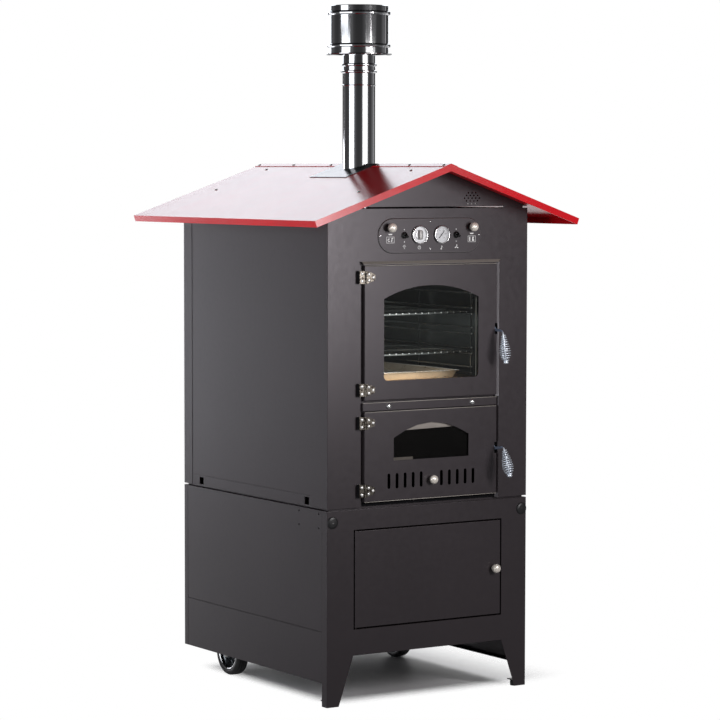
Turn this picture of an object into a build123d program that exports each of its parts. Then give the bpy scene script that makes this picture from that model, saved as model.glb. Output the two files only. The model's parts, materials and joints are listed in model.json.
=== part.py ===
from build123d import *
import math
import os

# Outdoor wood-fired oven on a wheeled cupboard, under a small pitched roof.
# Millimetres. +Z up, the doors face -Y. The origin is under the middle of the
# object, on the ground. Y(v) is a depth v behind the front face of the casing.

# ---- driving dimensions -------------------------------------------------
BODY_W = 800.0            # casing width
BODY_D = 956.0            # casing depth
ROOF_FRONT = 125.0        # roof overhang in front of the casing
ROOF_REAR = 140.0         # roof overhang behind the casing
SHEET = 2.0               # sheet thickness
LEG_BOTTOM = 2.0          # the sheet legs end just above the ground
BASE_TOP = 649.0
BASE_SEAM = 248.5         # between side panel and skirt
SKIRT_BOTTOM = 79.0
APRON_BOTTOM = 166.0      # lower edge of the front between the legs
UPPER_BOTTOM = 655.0
BELT_TOP = 691.0          # top of the belt with the lifting slots
UPPER_TOP = 1633.0
GABLE_BOTTOM = 1639.0
RIDGE_Z = 1779.4          # top face of the roof sheets at the ridge
EAVE_Z = 1597.9           # top face of the roof sheets at the eaves
EAVE_X = 523.5
ROOF_LIP = 22.0           # folded edge, square to the roof
FRONT_WRAP = 100.0        # front panel return along the side
REAR_WRAP = 59.0
FLUE_D = 112.0            # 110 mm nominal flue
FLUE_V = 437.0            # flue axis behind the front face
COWL_D = 202.0
WHEEL_R = 80.0
WHEEL_W = 45.0
WHEEL_X = 342.5
WHEEL_V = 715.0
DOOR_W = 528.0            # oven doors
DOOR_OUT = 14.0           # oven door faces stand proud of the casing
UD_Z0, UD_Z1 = 1004.0, 1448.0
LD_Z0, LD_Z1 = 671.0, 968.0
BD_X, BD_Z0, BD_Z1 = 292.0, 257.0, 577.0   # cupboard door, half width
HINGE_X, HINGE_V = -262.0, -17.5
HINGE_Z = (1410.0, 1041.0, 932.5, 709.5)
GAUGE_X, GAUGE_Z = 43.9, 1546.0
TOGGLE_X, TOGGLE_Z = 103.6, 1545.4
PULL_X, PULL_Z = 163.0, 1571.0
LATCH_X = 260.0
LATCH_V = -4.0
LATCH_Z = (1227.0, 826.0)
RACK_Z = (1274.1, 1139.1)     # undersides of the racks
RACK_X = 256.0
RACK_V = 124.0
CHAMBER_X = 290.0
CHAMBER_Z0, CHAMBER_Z1 = 1030.0, 1445.0
CHAMBER_V1 = 860.0

HW = BODY_W / 2
YF = -(ROOF_FRONT + BODY_D + ROOF_REAR) / 2 + ROOF_FRONT
TAN = (RIDGE_Z - EAVE_Z) / EAVE_X
ANG = math.atan(TAN)
SA, CA = math.sin(ANG), math.cos(ANG)


def Y(v):
    return YF + v


def bx(x0, x1, v0, v1, z0, z1):
    """Box between two corners, depths counted behind the front face."""
    return Pos((x0 + x1) / 2, YF + (v0 + v1) / 2, (z0 + z1) / 2) * Box(
        abs(x1 - x0), abs(v1 - v0), abs(z1 - z0))


def cx(r, x0, x1, v, z):
    """Cylinder along X."""
    return Pos((x0 + x1) / 2, Y(v), z) * Rot(0, 90, 0) * Cylinder(r, abs(x1 - x0))


def cy(r, v0, v1, x, z):
    """Cylinder along Y."""
    return Pos(x, Y((v0 + v1) / 2), z) * Rot(-90, 0, 0) * Cylinder(r, abs(v1 - v0))


def cz(r, z0, z1, x, v):
    """Cylinder along Z."""
    return Pos(x, Y(v), (z0 + z1) / 2) * Cylinder(r, abs(z1 - z0))


def rev(pts):
    """Solid of revolution about Z from (radius, height) points."""
    return revolve(make_face(Polyline([(r, 0, h) for r, h in pts], close=True)), Axis.Z)


def prism(pts, v0, v1):
    """Polygon in XZ, carried from depth v0 to v1."""
    face = make_face(Polyline([(x, Y(v0), z) for x, z in pts], close=True))
    return extrude(face, amount=v1 - v0, dir=(0, 1, 0))


def rod(p, q, r):
    """Round bar between two points."""
    p, q = Vector(*p), Vector(*q)
    d = q - p
    return Plane(origin=p, z_dir=d.normalized()) * Cylinder(
        r, d.length, align=(Align.CENTER, Align.CENTER, Align.MIN))


def mirror_x(s):
    return mirror(s, about=Plane.YZ)


def fuse(items):
    return items[0] + items[1:] if len(items) > 1 else items[0]


def save(name, *shapes):
    os.makedirs("parts", exist_ok=True)
    solids = []
    for s in shapes:
        solids += list(s.solids())
    export_step(solids[0] if len(solids) == 1 else Compound(children=solids),
                "parts/%s.step" % name)


def tray(x0, x1, v0, v1, z0, z1, r_h, r_v, t=SHEET):
    """Folded front: a face at v0 with returns going back to v1."""
    blk = bx(x0, x1, v0, v1, z0, z1)
    front = blk.edges().filter_by_position(Axis.Y, Y(v0) - .01, Y(v0) + .01)
    horiz = front.filter_by(Axis.X)
    blk = fillet(horiz, r_h)
    vert = blk.edges().filter_by(Axis.Z).filter_by_position(Axis.Y, Y(v0) - .01, Y(v0) + .01)
    if r_v > 0 and len(vert):
        blk = fillet(vert, r_v)
    return blk - bx(x0 + t, x1 - t, v0 + t, v1 + 1, z0 + t, z1 - t)


# ======================= base cupboard ===================================
# Front frame: one folded sheet, with tapered legs and a return round each side.
blk = bx(-HW, HW, 0, 32, LEG_BOTTOM, BASE_TOP)
blk = fillet(blk.edges().filter_by(Axis.Z).filter_by_position(Axis.Y, Y(0) - .01, Y(0) + .01), 3.0)
blk = fillet(blk.edges().filter_by_position(Axis.Z, BASE_TOP - .01, BASE_TOP + .01)
             .filter_by(Axis.X).filter_by_position(Axis.Y, Y(0) - .01, Y(0) + .01), 1.8)
frame = blk - bx(-HW + 2, HW - 2, 2, 40, 0, BASE_TOP - 2)
frame -= prism([(-357, -5), (-298.5, APRON_BOTTOM), (298.5, APRON_BOTTOM), (357, -5)], -1, 40)
frame += [bx(-296, 296, 1, 26, APRON_BOTTOM, APRON_BOTTOM + 2),
          bx(-299, 299, 1, 22, 250, 584)]
frame -= bx(-297, 297, -1, 30, 252, 582)
# foot plates inside the legs
foot_plates = [bx(s * 352, s * 399, 1, 40, 20, 23) for s in (-1, 1)]
frame += foot_plates
for z0, z1 in ((249, 253), (581, 585)):
    frame -= cz(3.05, z0, z1, -286, 6)
save("base_front_frame", frame)

# Side panels and skirts, with joggled edges that lie behind the corner strips.
def side_sheet(z0, z1, v0=33.0, v1=930.0, jf=(12, 36), jr=(927, 951), top=False, bottom=False):
    s = bx(-399.6, -397.6, v0, v1, z0, z1)
    s += [bx(-398, -396, jf[0], jf[1], z0 + 1, z1 - 3), bx(-398, -396, jr[0], jr[1], z0 + 1, z1 - 3)]
    if top:
        s += bx(-398, -372, 40, 925, z1 - 2, z1)
    if bottom:
        s += bx(-398, -372, 40, 925, z0, z0 + 2)
    return s


side = side_sheet(BASE_SEAM + 1, BASE_TOP - 1, top=True)
for v in (51.9, 176.2):
    for z in (589.4, 635.6):
        side -= cx(3.25, -401, -395, v, z)
save("base_side_panels", side, mirror_x(side))
skirt = side_sheet(SKIRT_BOTTOM, BASE_SEAM - 1, bottom=True)
save("base_skirts", skirt, mirror_x(skirt))

# Rear frame
rf = bx(-HW, HW, 931, 956, SKIRT_BOTTOM, BASE_TOP)
rf = fillet(rf.edges().filter_by(Axis.Z).filter_by_position(Axis.Y, Y(956) - .01, Y(956) + .01), 3.0)
rf -= bx(-398, 398, 920, 954, SKIRT_BOTTOM - 1, BASE_TOP - 2)
save("base_rear_frame", rf)

# Cupboard floor with turned-down edges
floor = bx(-396, 396, 22, 953.8, 246, 248)
floor += [bx(-396, 396, 22, 24, 226, 247), bx(-396, 396, 951.8, 953.8, 226, 247)]
save("base_floor", floor)

cap = Pos(-379, Y(0), 610.5) * Rot(90, 0, 0) * rev([(0, 0), (20, 0), (20, 2), (18.2, 4), (13, 5.4), (0, 6)])
save("base_caps", cap, mirror_x(cap))

foot = Pos(-370, Y(22), 0) * rev([(0, 0), (14, 0), (15, 1.5), (15, 16), (12, 20), (0, 20)])
save("front_feet", foot, mirror_x(foot))

# Axle with two hanger plates and retaining collars
axle = cx(10, -371.5, 371.5, WHEEL_V, WHEEL_R)
axle += [cx(16, -371.5, -365.6, WHEEL_V, WHEEL_R), cx(16, -319.4, -313, WHEEL_V, WHEEL_R),
         cx(16, 365.6, 371.5, WHEEL_V, WHEEL_R), cx(16, 313, 319.4, WHEEL_V, WHEEL_R),
         bx(-304, -300, WHEEL_V - 26, WHEEL_V + 26, 60, 246), bx(300, 304, WHEEL_V - 26, WHEEL_V + 26, 60, 246),
         bx(-304, -262, WHEEL_V - 26, WHEEL_V + 26, 243, 246), bx(262, 304, WHEEL_V - 26, WHEEL_V + 26, 243, 246)]
save("wheel_axle", axle)

h = WHEEL_W / 2
tyre = rev([(61, -h + 2), (61, h - 2), (70, h), (75.5, h - 1.5), (79, h - 6), (80, h - 11),
            (80, -h + 11), (79, -h + 6), (75.5, -h + 1.5), (70, -h)])
rim = rev([(10.05, -h), (20, -h), (20, -4), (54, -4), (54, -h + 3), (61, -h + 2), (61, h - 2), (54, h - 3),
           (54, 4), (20, 4), (20, h), (10.05, h)])
for name, sgn in (("wheel_left", -1), ("wheel_right", 1)):
    loc = Pos(sgn * WHEEL_X, Y(WHEEL_V), WHEEL_R) * Rot(0, 90 * sgn, 0)
    save(name, loc * tyre, loc * rim)

# Cupboard door: folded tray on two pins in its left edge, with a ball knob.
bd = tray(-BD_X, BD_X, 0, 18, BD_Z0, BD_Z1, 1.8, 1.2)
bd += [cz(3, 565, 585.5, -286, 6), cz(3, 248.5, 269, -286, 6)]
save("base_door", bd)
knob = Pos(265, Y(0), 414.5) * Rot(90, 0, 0) * rev(
    [(0, 0), (8, 0), (8, 1.2), (4.5, 2.4), (4.5, 4.6), (10, 6.6), (14, 11), (15.4, 16.6), (14.2, 22.4),
     (10.4, 27.2), (4.6, 29.8), (0, 30.2)])
save("base_door_knob", knob)

# ======================= upper casing ====================================
blk = bx(-HW, HW, 0, FRONT_WRAP, UPPER_BOTTOM, UPPER_TOP)
blk = fillet(blk.edges().filter_by(Axis.Z).filter_by_position(Axis.Y, Y(0) - .01, Y(0) + .01), 3.0)
fp = blk - bx(-398, 398, 2, 101, UPPER_BOTTOM - 1, UPPER_TOP - 2)
fp -= bx(-276, 276, -1, 3, UPPER_BOTTOM - 1, 1461)
for s in (-1, 1):
    fp -= cy(27.5, -1, 3, s * GAUGE_X, GAUGE_Z)
    fp -= cy(5.0, -1, 3, s * PULL_X, PULL_Z)
save("front_panel", fp)

side = bx(-399.2, -397.2, 101.2, 895.8, BELT_TOP + 1, UPPER_TOP - 1)
side += [bx(-398, -396, 76, 110, BELT_TOP + 22, UPPER_TOP - 4), bx(-398, -396, 887, 920, BELT_TOP + 22, UPPER_TOP - 4),
         bx(-398, -372, 110, 887, UPPER_TOP - 3, UPPER_TOP - 1)]
save("side_panel_left", side)
save("side_panel_right", mirror_x(side))

blk = bx(-HW, HW, BODY_D - REAR_WRAP, BODY_D, UPPER_BOTTOM, UPPER_TOP)
blk = fillet(blk.edges().filter_by(Axis.Z).filter_by_position(Axis.Y, Y(956) - .01, Y(956) + .01), 3.0)
rp = blk - bx(-398, 398, 890, 954, UPPER_BOTTOM - 1, UPPER_TOP - 2)
# ventilation louvres low and high in the rear panel
for z in (740, 765, 790, 1560, 1585):
    for x in (-180, 0, 180):
        rp -= bx(x - 60, x + 60, 950, 960, z, z + 7)
rp -= cy(8.2, 950, 960, -300, 1500)
save("rear_panel", rp)

# Floor pan: plate, belt with four lifting slots, and the rails that leave the 6 mm gap
pan = bx(-396, 396, 14, 953.8, UPPER_BOTTOM, UPPER_BOTTOM + 2)
for s in (-1, 1):
    pan += [bx(s * 399.2, s * 397.2, 101.2, 895.8, UPPER_BOTTOM, BELT_TOP),
            bx(s * 397.2, s * 395.2, 14, 953.8, UPPER_BOTTOM, BELT_TOP + 20)]
ring = bx(-388, 388, 10, 946, BASE_TOP, UPPER_BOTTOM) - bx(-350, 350, 40, 916, BASE_TOP - 1, UPPER_BOTTOM + 1)
pan += ring
for s in (-1, 1):
    for v in (113.5, 818.0):
        pan -= bx(s * 402, s * 390, v, v + 28, 660, 685)
save("floor_pan", pan)

# Door surround: lips beside the doors, sloping drip ledge and the mouth plate
plate = bx(-274, 274, 8, 12, 657, 1459)
plate -= bx(-258, 258, 7, 13, 1052, 1428)
plate -= bx(-222, 222, 7, 13, 700, 950)
sur = [plate]
# flush strip beside the hinges, raised sloping lip beside the latches
sur.append(bx(-276, -268.2, 0, 2, 657, 1456) + bx(-270.2, -268.2, 1, 12, 657, 1456))
sur.append(prism([(268.2, 657), (276, 657), (276, 1456), (268.2, 1456)], 0, 12) - bx(266, 273.8, 1.6, 13, 656, 1457))
lip = make_face(Polyline([(267.2, Y(0.2), 657), (276, Y(0.2), 657), (276, Y(-11.2), 657), (275.2, Y(-11.2), 657)], close=True))
sur.append(extrude(lip, amount=799, dir=(0, 0, 1)))
ledge_face = make_face(Polyline([(-269, Y(0), 1461), (288, Y(0), 1461), (272, Y(-14), 1452), (-269, Y(-14), 1452)], close=True))
ledge = extrude(ledge_face, amount=2, dir=(0, 0, -1))
ledge += bx(-269, 276, -0.5, 12, 1457.5, 1461)
sur.append(ledge)
surround = sur[0] + sur[1:]
save("door_surround", surround)

bar = tray(-268, 267, -10, 8, 970, 998, 2.0, 1.0)
bolt = Rot(90, 0, 0) * rev([(0, 0), (8.6, 0), (8.6, 1.2), (7.4, 3.4), (4.5, 5.2), (0, 5.9)])
save("mid_bar", bar, Pos(-167, Y(-10), 984.5) * bolt, Pos(167, Y(-10), 984.5) * bolt)


# ---- roof ----
def zt(x, off=0.0):
    """Height at x of a plane lying off below the roof's top face."""
    return RIDGE_Z - TAN * abs(x) - off / CA


def off_pt(p, d, up):
    """From p go d square to the roof (down) and up along the slope."""
    return (p[0] - SA * d - CA * up, p[1] - CA * d + SA * up)


A = (0.15, zt(0.15))
B = (EAVE_X, EAVE_Z)
R0, R1 = -ROOF_FRONT, BODY_D + ROOF_REAR
sheet = prism([A, B, off_pt(B, 2, 0), (0.15, zt(0.15, 2))], R0, R1)
lip = prism([B, off_pt(B, ROOF_LIP, 0), off_pt(B, ROOF_LIP, 2), off_pt(B, 0, 2)], R0, R1)
fas_pts = [A, B, off_pt(B, ROOF_LIP, 0), (0.15, zt(0.15, ROOF_LIP))]
right = sheet + [lip, prism(fas_pts, R0, R0 + 2), prism(fas_pts, R1 - 2, R1)]
right -= cz(59, 1600, 1800, 0, FLUE_V)
save("roof_panel_right", right)
save("roof_panel_left", mirror_x(right))

cap_pts = [(0, zt(0, -1.6)), (25, zt(25, -1.6)), (25, zt(25)), (0, zt(0)), (-25, zt(25)), (-25, zt(25, -1.6))]
save("ridge_cap", prism(cap_pts, R0, 312.5), prism(cap_pts, 544.5, R1))

fl_pts = [(0, zt(0, -2)), (132, zt(132, -2)), (132, zt(132)), (0, zt(0)), (-132, zt(132)), (-132, zt(132, -2))]
flash = prism(fl_pts, 313, 544) - cz(FLUE_D / 2 + 0.2, 1600, 1900, 0, FLUE_V)
save("flue_flashing", flash)

# roof screws: heads only, standing on the sheets and on the ridge cap
screws = []
for s in (-1, 1):
    for x, v, off in ((55, 965, 0), (262, 965, 0), (60, 24, 0), (264, 24, 0),
                      (13, -100, -1.6), (13, 104, -1.6), (13, 300, -1.6), (13, 597, -1.6), (13, 846, -1.6), (13, 1084, -1.6)):
        head = rev([(0, 0), (5.2, 0), (5.2, 1.2), (3.6, 2.8), (0, 3.2)])
        screws.append(Pos(s * x, Y(v), zt(x, off)) * Rot(0, s * math.degrees(ANG), 0) * head)
save("roof_screws", *screws)

# gables: triangles under the roof, with a flange along each slope
def gable(v0, v1, f0, f1, t0, t1, e0, e1):
    g = prism([(-397, GABLE_BOTTOM), (397, GABLE_BOTTOM), (397, zt(397, 2.3)),
               (0, zt(0, 2.3)), (-397, zt(397, 2.3))], v0, v1)
    for s in (-1, 1):
        g += prism([(s * 6, zt(6, 2.3)), (s * 384, zt(384, 2.3)), (s * 384, zt(384, 4.3)), (s * 6, zt(6, 4.3))], f0, f1)
        g += [bx(s * 300, s * 380, t0, t1, UPPER_TOP, 1645), bx(s * 300, s * 380, e0, e1, UPPER_TOP, UPPER_TOP + 2)]
    return g


fg = gable(0, 2, 2, 44, 2, 4, 2, 30)
# small field of round vent holes, staggered
for i, n in enumerate((3, 4, 5, 4, 3)):
    for k in range(n):
        fg -= cy(3.0, -1, 3, 170 + (k - (n - 1) / 2) * 15.0, 1684 - i * 9.0)
save("front_gable", fg)
save("rear_gable", gable(954, 956, 956, 984, 952, 954, 926, 954))

# ---- flue ----
r = FLUE_D / 2
pipe = rev([(r - 1.5, 1446), (r, 1446), (r, 2046), (r + 1.2, 2047.5), (r + 1.2, 2050), (r, 2052),
            (r, 2090), (r + 6, 2093), (r + 6, 2097), (r, 2100), (r, 2113), (r + 6, 2116), (r + 6, 2120), (r, 2123),
            (r - 1.5, 2123)])
save("flue_pipe", Pos(0, Y(FLUE_V), 0) * pipe)
c = COWL_D / 2
shell = rev([(r - 1.5, 2123.2), (r + 0.4, 2123.2), (r + 0.4, 2156), (r - 1.5, 2156)])
inner = rev([(r - 1.5, 2155.5), (r + 0.4, 2155.5), (r + 0.4, 2240), (r - 1.5, 2240)])
outer = rev([(c + 11, 2153), (c + 12, 2154), (c + 12, 2156), (c, 2158), (c, 2177), (c + 7, 2180), (c + 8, 2183.5),
             (c + 7, 2187), (c, 2190), (c, 2287), (c + 7, 2290), (c + 8, 2294), (c + 7, 2298), (c, 2301), (c, 2318),
             (c - 4, 2320), (0, 2320), (0, 2318.5), (c - 4.6, 2318.5), (c - 1.6, 2317), (c - 1.6, 2157), (c - 1.6, 2155)])
cowl = (shell + inner) + outer
for k in range(4):
    a = math.radians(45 + 90 * k)
    arm = Pos(0, 0, 0) * Rot(0, 0, 45 + 90 * k) * (Pos((r + c) / 2 - 0.3, 0, 2215) * Box(c - r + 0.2, 2, 40))
    cowl += arm
save("chimney_cowl", Pos(0, Y(FLUE_V), 0) * cowl)

gland = Pos(-300, Y(956), 1500) * Rot(-90, 0, 0) * rev(
    [(4, -4), (8, -4), (8, 0), (13, 0), (13, 6), (10.5, 7), (10.5, 15), (7.5, 22), (4, 22)])
motor = cy(34, 907, 946, 0, 1290) + bx(-60, 60, 944, 954, 1262, 1318) - cy(5.06, 900, 942, 0, 1290)
save("fan_motor_and_gland", motor, gland)

# ======================= inside ==========================================
ch = bx(-CHAMBER_X, CHAMBER_X, 12, CHAMBER_V1, CHAMBER_Z0, CHAMBER_Z1)
ch -= bx(-CHAMBER_X + 3, CHAMBER_X - 3, 10, CHAMBER_V1 - 3, CHAMBER_Z0 + 3, CHAMBER_Z1 - 3)
ch -= cz(r - 1.5, CHAMBER_Z1 - 5, CHAMBER_Z1 + 5, 0, FLUE_V)
ch -= cy(7, CHAMBER_V1 - 6, CHAMBER_V1 + 3, 0, 1290)
ch -= cy(16, CHAMBER_V1 - 6, CHAMBER_V1 + 3, 200, 1395)
spigot = rev([(r - 1.5, CHAMBER_Z1 - 1), (r, CHAMBER_Z1 - 1), (r, 1446), (r - 1.5, 1446)])
ch += Pos(0, Y(FLUE_V), 0) * spigot
save("baking_chamber", ch)

ins = bx(-340, 340, 12.5, 905, 1027, 1490) - bx(-CHAMBER_X, CHAMBER_X, 10, CHAMBER_V1, 1000, CHAMBER_Z1)
ins -= cz(57, 1440, 1500, 0, FLUE_V)
ins -= cy(10, 850, 910, 0, 1290)
ins -= cy(19, 850, 910, 200, 1395)
save("insulation", ins)

stone = bx(-284, 284, 30, 441, 1033, 1059)
stone2 = bx(-284, 284, 443, 852, 1033, 1059)
save("refractory_floor", stone, stone2)

sup = [bx(260, 265, v, v + 5, 1059, 1345) for v in (RACK_V + 8, 450, 770)]
for z in (1340, 1289, 1268.5, 1221.5, 1201, 1153.5, 1133.5, 1087.5, 1066.5):
    sup.append(bx(253, 260.5, RACK_V, 800, z, z + 5.5))
sup += [bx(264, 287, v, v + 5, 1322, 1328) for v in (RACK_V + 8, 770)]
ladder = fuse(sup)
save("rack_supports", ladder, mirror_x(ladder))


def rack(z):
    """Square-section frame with cross bars, and long wires laid over them."""
    x, v0 = RACK_X, RACK_V + 4
    w = [bx(-x, x, v0, v0 + 5, z, z + 5), bx(-x, x, 771, 776, z, z + 5),
         bx(-x, -x + 5, v0, 776, z, z + 5), bx(x - 5, x, v0, 776, z, z + 5),
         bx(-x + 4, x - 4, 340, 344, z, z + 4), bx(-x + 4, x - 4, 556, 560, z, z + 4)]
    for k in range(19):
        c = -234 + 26 * k
        w.append(bx(c - 1.5, c + 1.5, v0 - 6, 776, z + 3.5, z + 7))
    return fuse(w)


save("rack_upper", rack(RACK_Z[0]))
save("rack_lower", rack(RACK_Z[1]))

def frustum(x, v0, v1, z0, z1, f):
    """Dish with walls flaring outwards by f."""
    lo = make_face(Polyline([(-x + f, Y(v0 + f), z0), (x - f, Y(v0 + f), z0), (x - f, Y(v1 - f), z0), (-x + f, Y(v1 - f), z0)], close=True))
    hi = make_face(Polyline([(-x, Y(v0), z1), (x, Y(v0), z1), (x, Y(v1), z1), (-x, Y(v1), z1)], close=True))
    return loft([lo, hi])


tr = frustum(188, 112, 600, 1059.1, 1083, 10) - frustum(187.2, 112.8, 599.2, 1060.6, 1084, 9.6)
tr += bx(-194, 194, 106, 606, 1082, 1083.5) - bx(-187.5, 187.5, 112.5, 599.5, 1081, 1085)
save("drip_tray", tr)

fan = [cy(24, 831.5, 834.5, 0, 1290), cy(5, 838, 940, 0, 1290), cy(12, 826, 841, 0, 1290)]
for k in range(8):
    blade = Pos(0, Y(833), 1290) * Rot(0, 45 * k, 0) * (Pos(46, 0, 0) * Rot(35, 0, 0) * Box(56, 1.6, 14))
    fan.append(blade)
save("fan_wheel", fuse(fan))

lamp = Pos(200, Y(857), 1395) * Rot(90, 0, 0) * rev(
    [(0, 14), (20, 14), (23, 10), (24, 4), (24, 0), (15.8, 0), (15.8, -30), (0, -30)])
save("oven_lamp", lamp)

fb = bx(-250, 250, 12, 700, 690, 1024) - bx(-246, 246, 10, 696, 694, 1020)
for s in (-1, 1):
    fb += bx(s * 247, s * 232, 40, 690, 752, 756)
save("firebox", fb)

grate = bx(-244, 244, 45, 685, 756, 766)
for i in range(15):
    x = -210 + 30 * i
    for v0, v1 in ((70, 350), (380, 660)):
        grate -= bx(x - 6, x + 6, v0, v1, 755, 767)
save("fire_grate", grate)

ash = bx(-205, 205, 64, 560, 694.1, 742) - bx(-203, 203, 66, 558, 696.1, 743)
ash += bx(-60, 60, 58, 65, 712, 716) + bx(-60, 60, 58, 60, 716, 724)
save("ash_drawer", ash)

# ======================= oven doors ======================================
def arch(x, z0, zs, z1, v0, v1):
    """Window with a straight sill, straight sides to zs and an arched head."""
    rr = (x * x + (z1 - zs) ** 2) / (2 * (z1 - zs))
    a = (-x, Y(v0), zs)
    m = (0, Y(v0), z1)
    b = (x, Y(v0), zs)
    w = Wire([Line((-x, Y(v0), z0), a), ThreePointArc(a, m, b), Line(b, (x, Y(v0), z0)),
              Line((x, Y(v0), z0), (-x, Y(v0), z0))])
    return extrude(make_face(w), amount=v1 - v0, dir=(0, 1, 0))


ud = tray(-DOOR_W / 2, DOOR_W / 2, -DOOR_OUT, 4, UD_Z0, UD_Z1, 3.6, 1.2)
win = arch(189, 1069, 1338, 1380, -16, -8)
win = fillet(win.edges().filter_by(Axis.Y).group_by(Axis.Z)[0], 14)
ud -= win
ud -= bx(256, 266, -16, 6, LATCH_Z[0] - 19, LATCH_Z[0] + 19)
ud += [bx(240, 252, -12.5, 3, LATCH_Z[0] - 14, LATCH_Z[0] + 14), cx(3, 251, 263.6, LATCH_V, LATCH_Z[0])]
save("upper_door", ud)
save("upper_door_glass", bx(-214, 214, -11.8, -7.8, 1046, 1406))
ret = bx(-228, 228, -7.6, -5.6, 1032, 1420) - bx(-196, 196, -9, -4, 1062, 1388)
for s in (-1, 1):
    for z in (1036, 1412):
        ret += cy(4, -12, -7, s * 222, z)
# mouth ring: the rim that dips into the mouth when the door is shut
ret += bx(-226, 226, -6, 6, 1060, 1420) - bx(-223, 223, -7, 7, 1063, 1417)
save("upper_door_retainer", ret)

ld = tray(-DOOR_W / 2, DOOR_W / 2, -DOOR_OUT, 4, LD_Z0, LD_Z1, 3.6, 1.2)
wl = prism([(-150, 804), (150, 804), (150, 879), (104, 902), (56, 918), (0, 925), (-56, 918), (-104, 902), (-150, 879)], -16, -8)
ld -= wl
for s in (-1, 1):
    for k in range(5):
        x = s * (40.6 + 32 * k)
        ld -= fillet(bx(x - 5.7, x + 5.7, -16, -8, 711, 762).edges().filter_by(Axis.Y), 5.4)
ld -= fillet(bx(-10, 22, -16, -8, 730, 738).edges().filter_by(Axis.Y), 3.5)
ld -= bx(256, 266, -16, 6, LATCH_Z[1] - 19, LATCH_Z[1] + 19)
ld += [bx(240, 252, -12.5, 3, LATCH_Z[1] - 14, LATCH_Z[1] + 14), cx(3, 251, 263.6, LATCH_V, LATCH_Z[1]),
       bx(-215, 215, -12.5, -9, 769, 772), bx(-215, 215, -12.5, -9, 701, 704),
       bx(-215, 215, -10, -9, 766, 770), bx(-215, 215, -10, -9, 703, 707)]
save("lower_door", ld)
save("lower_door_glass", bx(-176, 176, -11.8, -7.8, 782, 945))

slide = bx(-200, 190, -11.7, -10.2, 704.4, 768.6)
for s in (-1, 1):
    for k in range(5):
        x = s * (40.6 + 32 * k)
        slide -= bx(x - 6.3, x + 6.3, -13, -9, 709, 764)
slide += Pos(0, Y(-11), 734) * Rot(90, 0, 0) * rev(
    [(0, 0), (3.4, 0), (3.4, 8.5), (9.6, 10.2), (13.4, 14), (14.6, 18.8), (13.4, 23.6), (9.6, 27.4), (3.5, 29.3), (0, 29.5)])
save("air_slide", slide)

# Hinges: spacer, leaf and two knuckles with the pin on the casing; leaf and middle knuckle on the door
body_leaves, ul, ll = [], [], []
for i, z in enumerate(HINGE_Z):
    b = bx(-284.6, -276.2, -14, 0, z - 21, z + 21)
    b += fillet(bx(-284.6, -266, -16, -14, z - 21, z + 21).edges().filter_by(Axis.Y).group_by(Axis.X)[0], 5)
    for z0, z1 in ((z - 21, z - 8), (z + 8, z + 21)):
        b += [cz(3.2, z0, z1, HINGE_X, HINGE_V), bx(-267, -264, -16.6, -14.3, z0, z1)]
    b += cz(1.6, z - 21, z + 21, HINGE_X, HINGE_V)
    body_leaves.append(b)
    pts = [(-258.4, z - 21), (-240, z - 15), (-228, z - 11), (-225, z - 7), (-225, z + 7), (-228, z + 11), (-240, z + 15), (-258.4, z + 21)]
    d = prism(pts, -16, -14)
    d += [cz(3.2, z - 7.7, z + 7.7, HINGE_X, HINGE_V), bx(-260.5, -257, -16.9, -14.3, z - 7.7, z + 7.7)]
    d -= cz(1.66, z - 9, z + 9, HINGE_X, HINGE_V)
    (ul if i < 2 else ll).append(d)
save("hinge_body_leaves", *body_leaves)
save("hinge_upper_leaves", *ul)
save("hinge_lower_leaves", *ll)


# Latch levers: bent bar on a pin in the door, with a swelling sprung grip
def latch(zp, p1, p2, p3):
    """Lever through (v, z) points p1, p2, p3; the grip runs from p2 to p3."""
    hub = cx(8, 257.4, 262.6, LATCH_V, zp) - cx(3.06, 250, 270, LATCH_V, zp)
    P = [Vector(LATCH_X, Y(v), z) for v, z in (p1, p2, p3)]
    rr = 2.9
    # flat bar from the hub to the bend, cut back to clear the pin hole
    (v1, z1) = p1
    v0, z0 = LATCH_V - 5.2, zp - 3.0
    ln = math.hypot(v1 - v0, z1 - z0)
    nx, nz = -(z1 - z0) / ln * 4.9, (v1 - v0) / ln * 4.9
    arm = make_face(Polyline([(LATCH_X - 2.4, Y(v0 + nx), z0 + nz), (LATCH_X - 2.4, Y(v1 + nx), z1 + nz),
                              (LATCH_X - 2.4, Y(v1 - nx), z1 - nz), (LATCH_X - 2.4, Y(v0 - nx), z0 - nz)], close=True))
    arm = extrude(arm, amount=4.8, dir=(1, 0, 0)) - cx(3.06, 250, 270, LATCH_V, zp)
    bar = [arm, cx(4.9, LATCH_X - 2.5, LATCH_X + 2.5, v1, z1)] + [
        rod(tuple(P[0]), tuple(P[1]), rr), rod(tuple(P[1]), tuple(P[2]), rr), Pos(*P[1]) * Sphere(rr + 0.25), Pos(*P[2]) * Sphere(rr + 2.2)]
    d = (P[2] - P[1])
    L = d.length
    prof = [(3.3, 4), (8, 4), (10, 0.12 * L), (14.4, 0.32 * L), (18.4, 0.52 * L), (19.6, 0.64 * L), (18.6, 0.76 * L),
            (14, 0.89 * L), (8, L - 5), (3.3, L - 5)]
    grip = Plane(origin=P[1], z_dir=d.normalized()) * rev(prof)
    return hub + bar, grip


for name, zp, p1, p2, p3 in (("latch_upper", LATCH_Z[0], (-48.5, 1221.5), (-57.5, 1212), (-73.6, 1116.5)),
                             ("latch_lower", LATCH_Z[1], (-55, 830.5), (-65.4, 825), (-97.5, 737.3))):
    lever, grip = latch(zp, p1, p2, p3)
    save(name, lever, grip)

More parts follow.
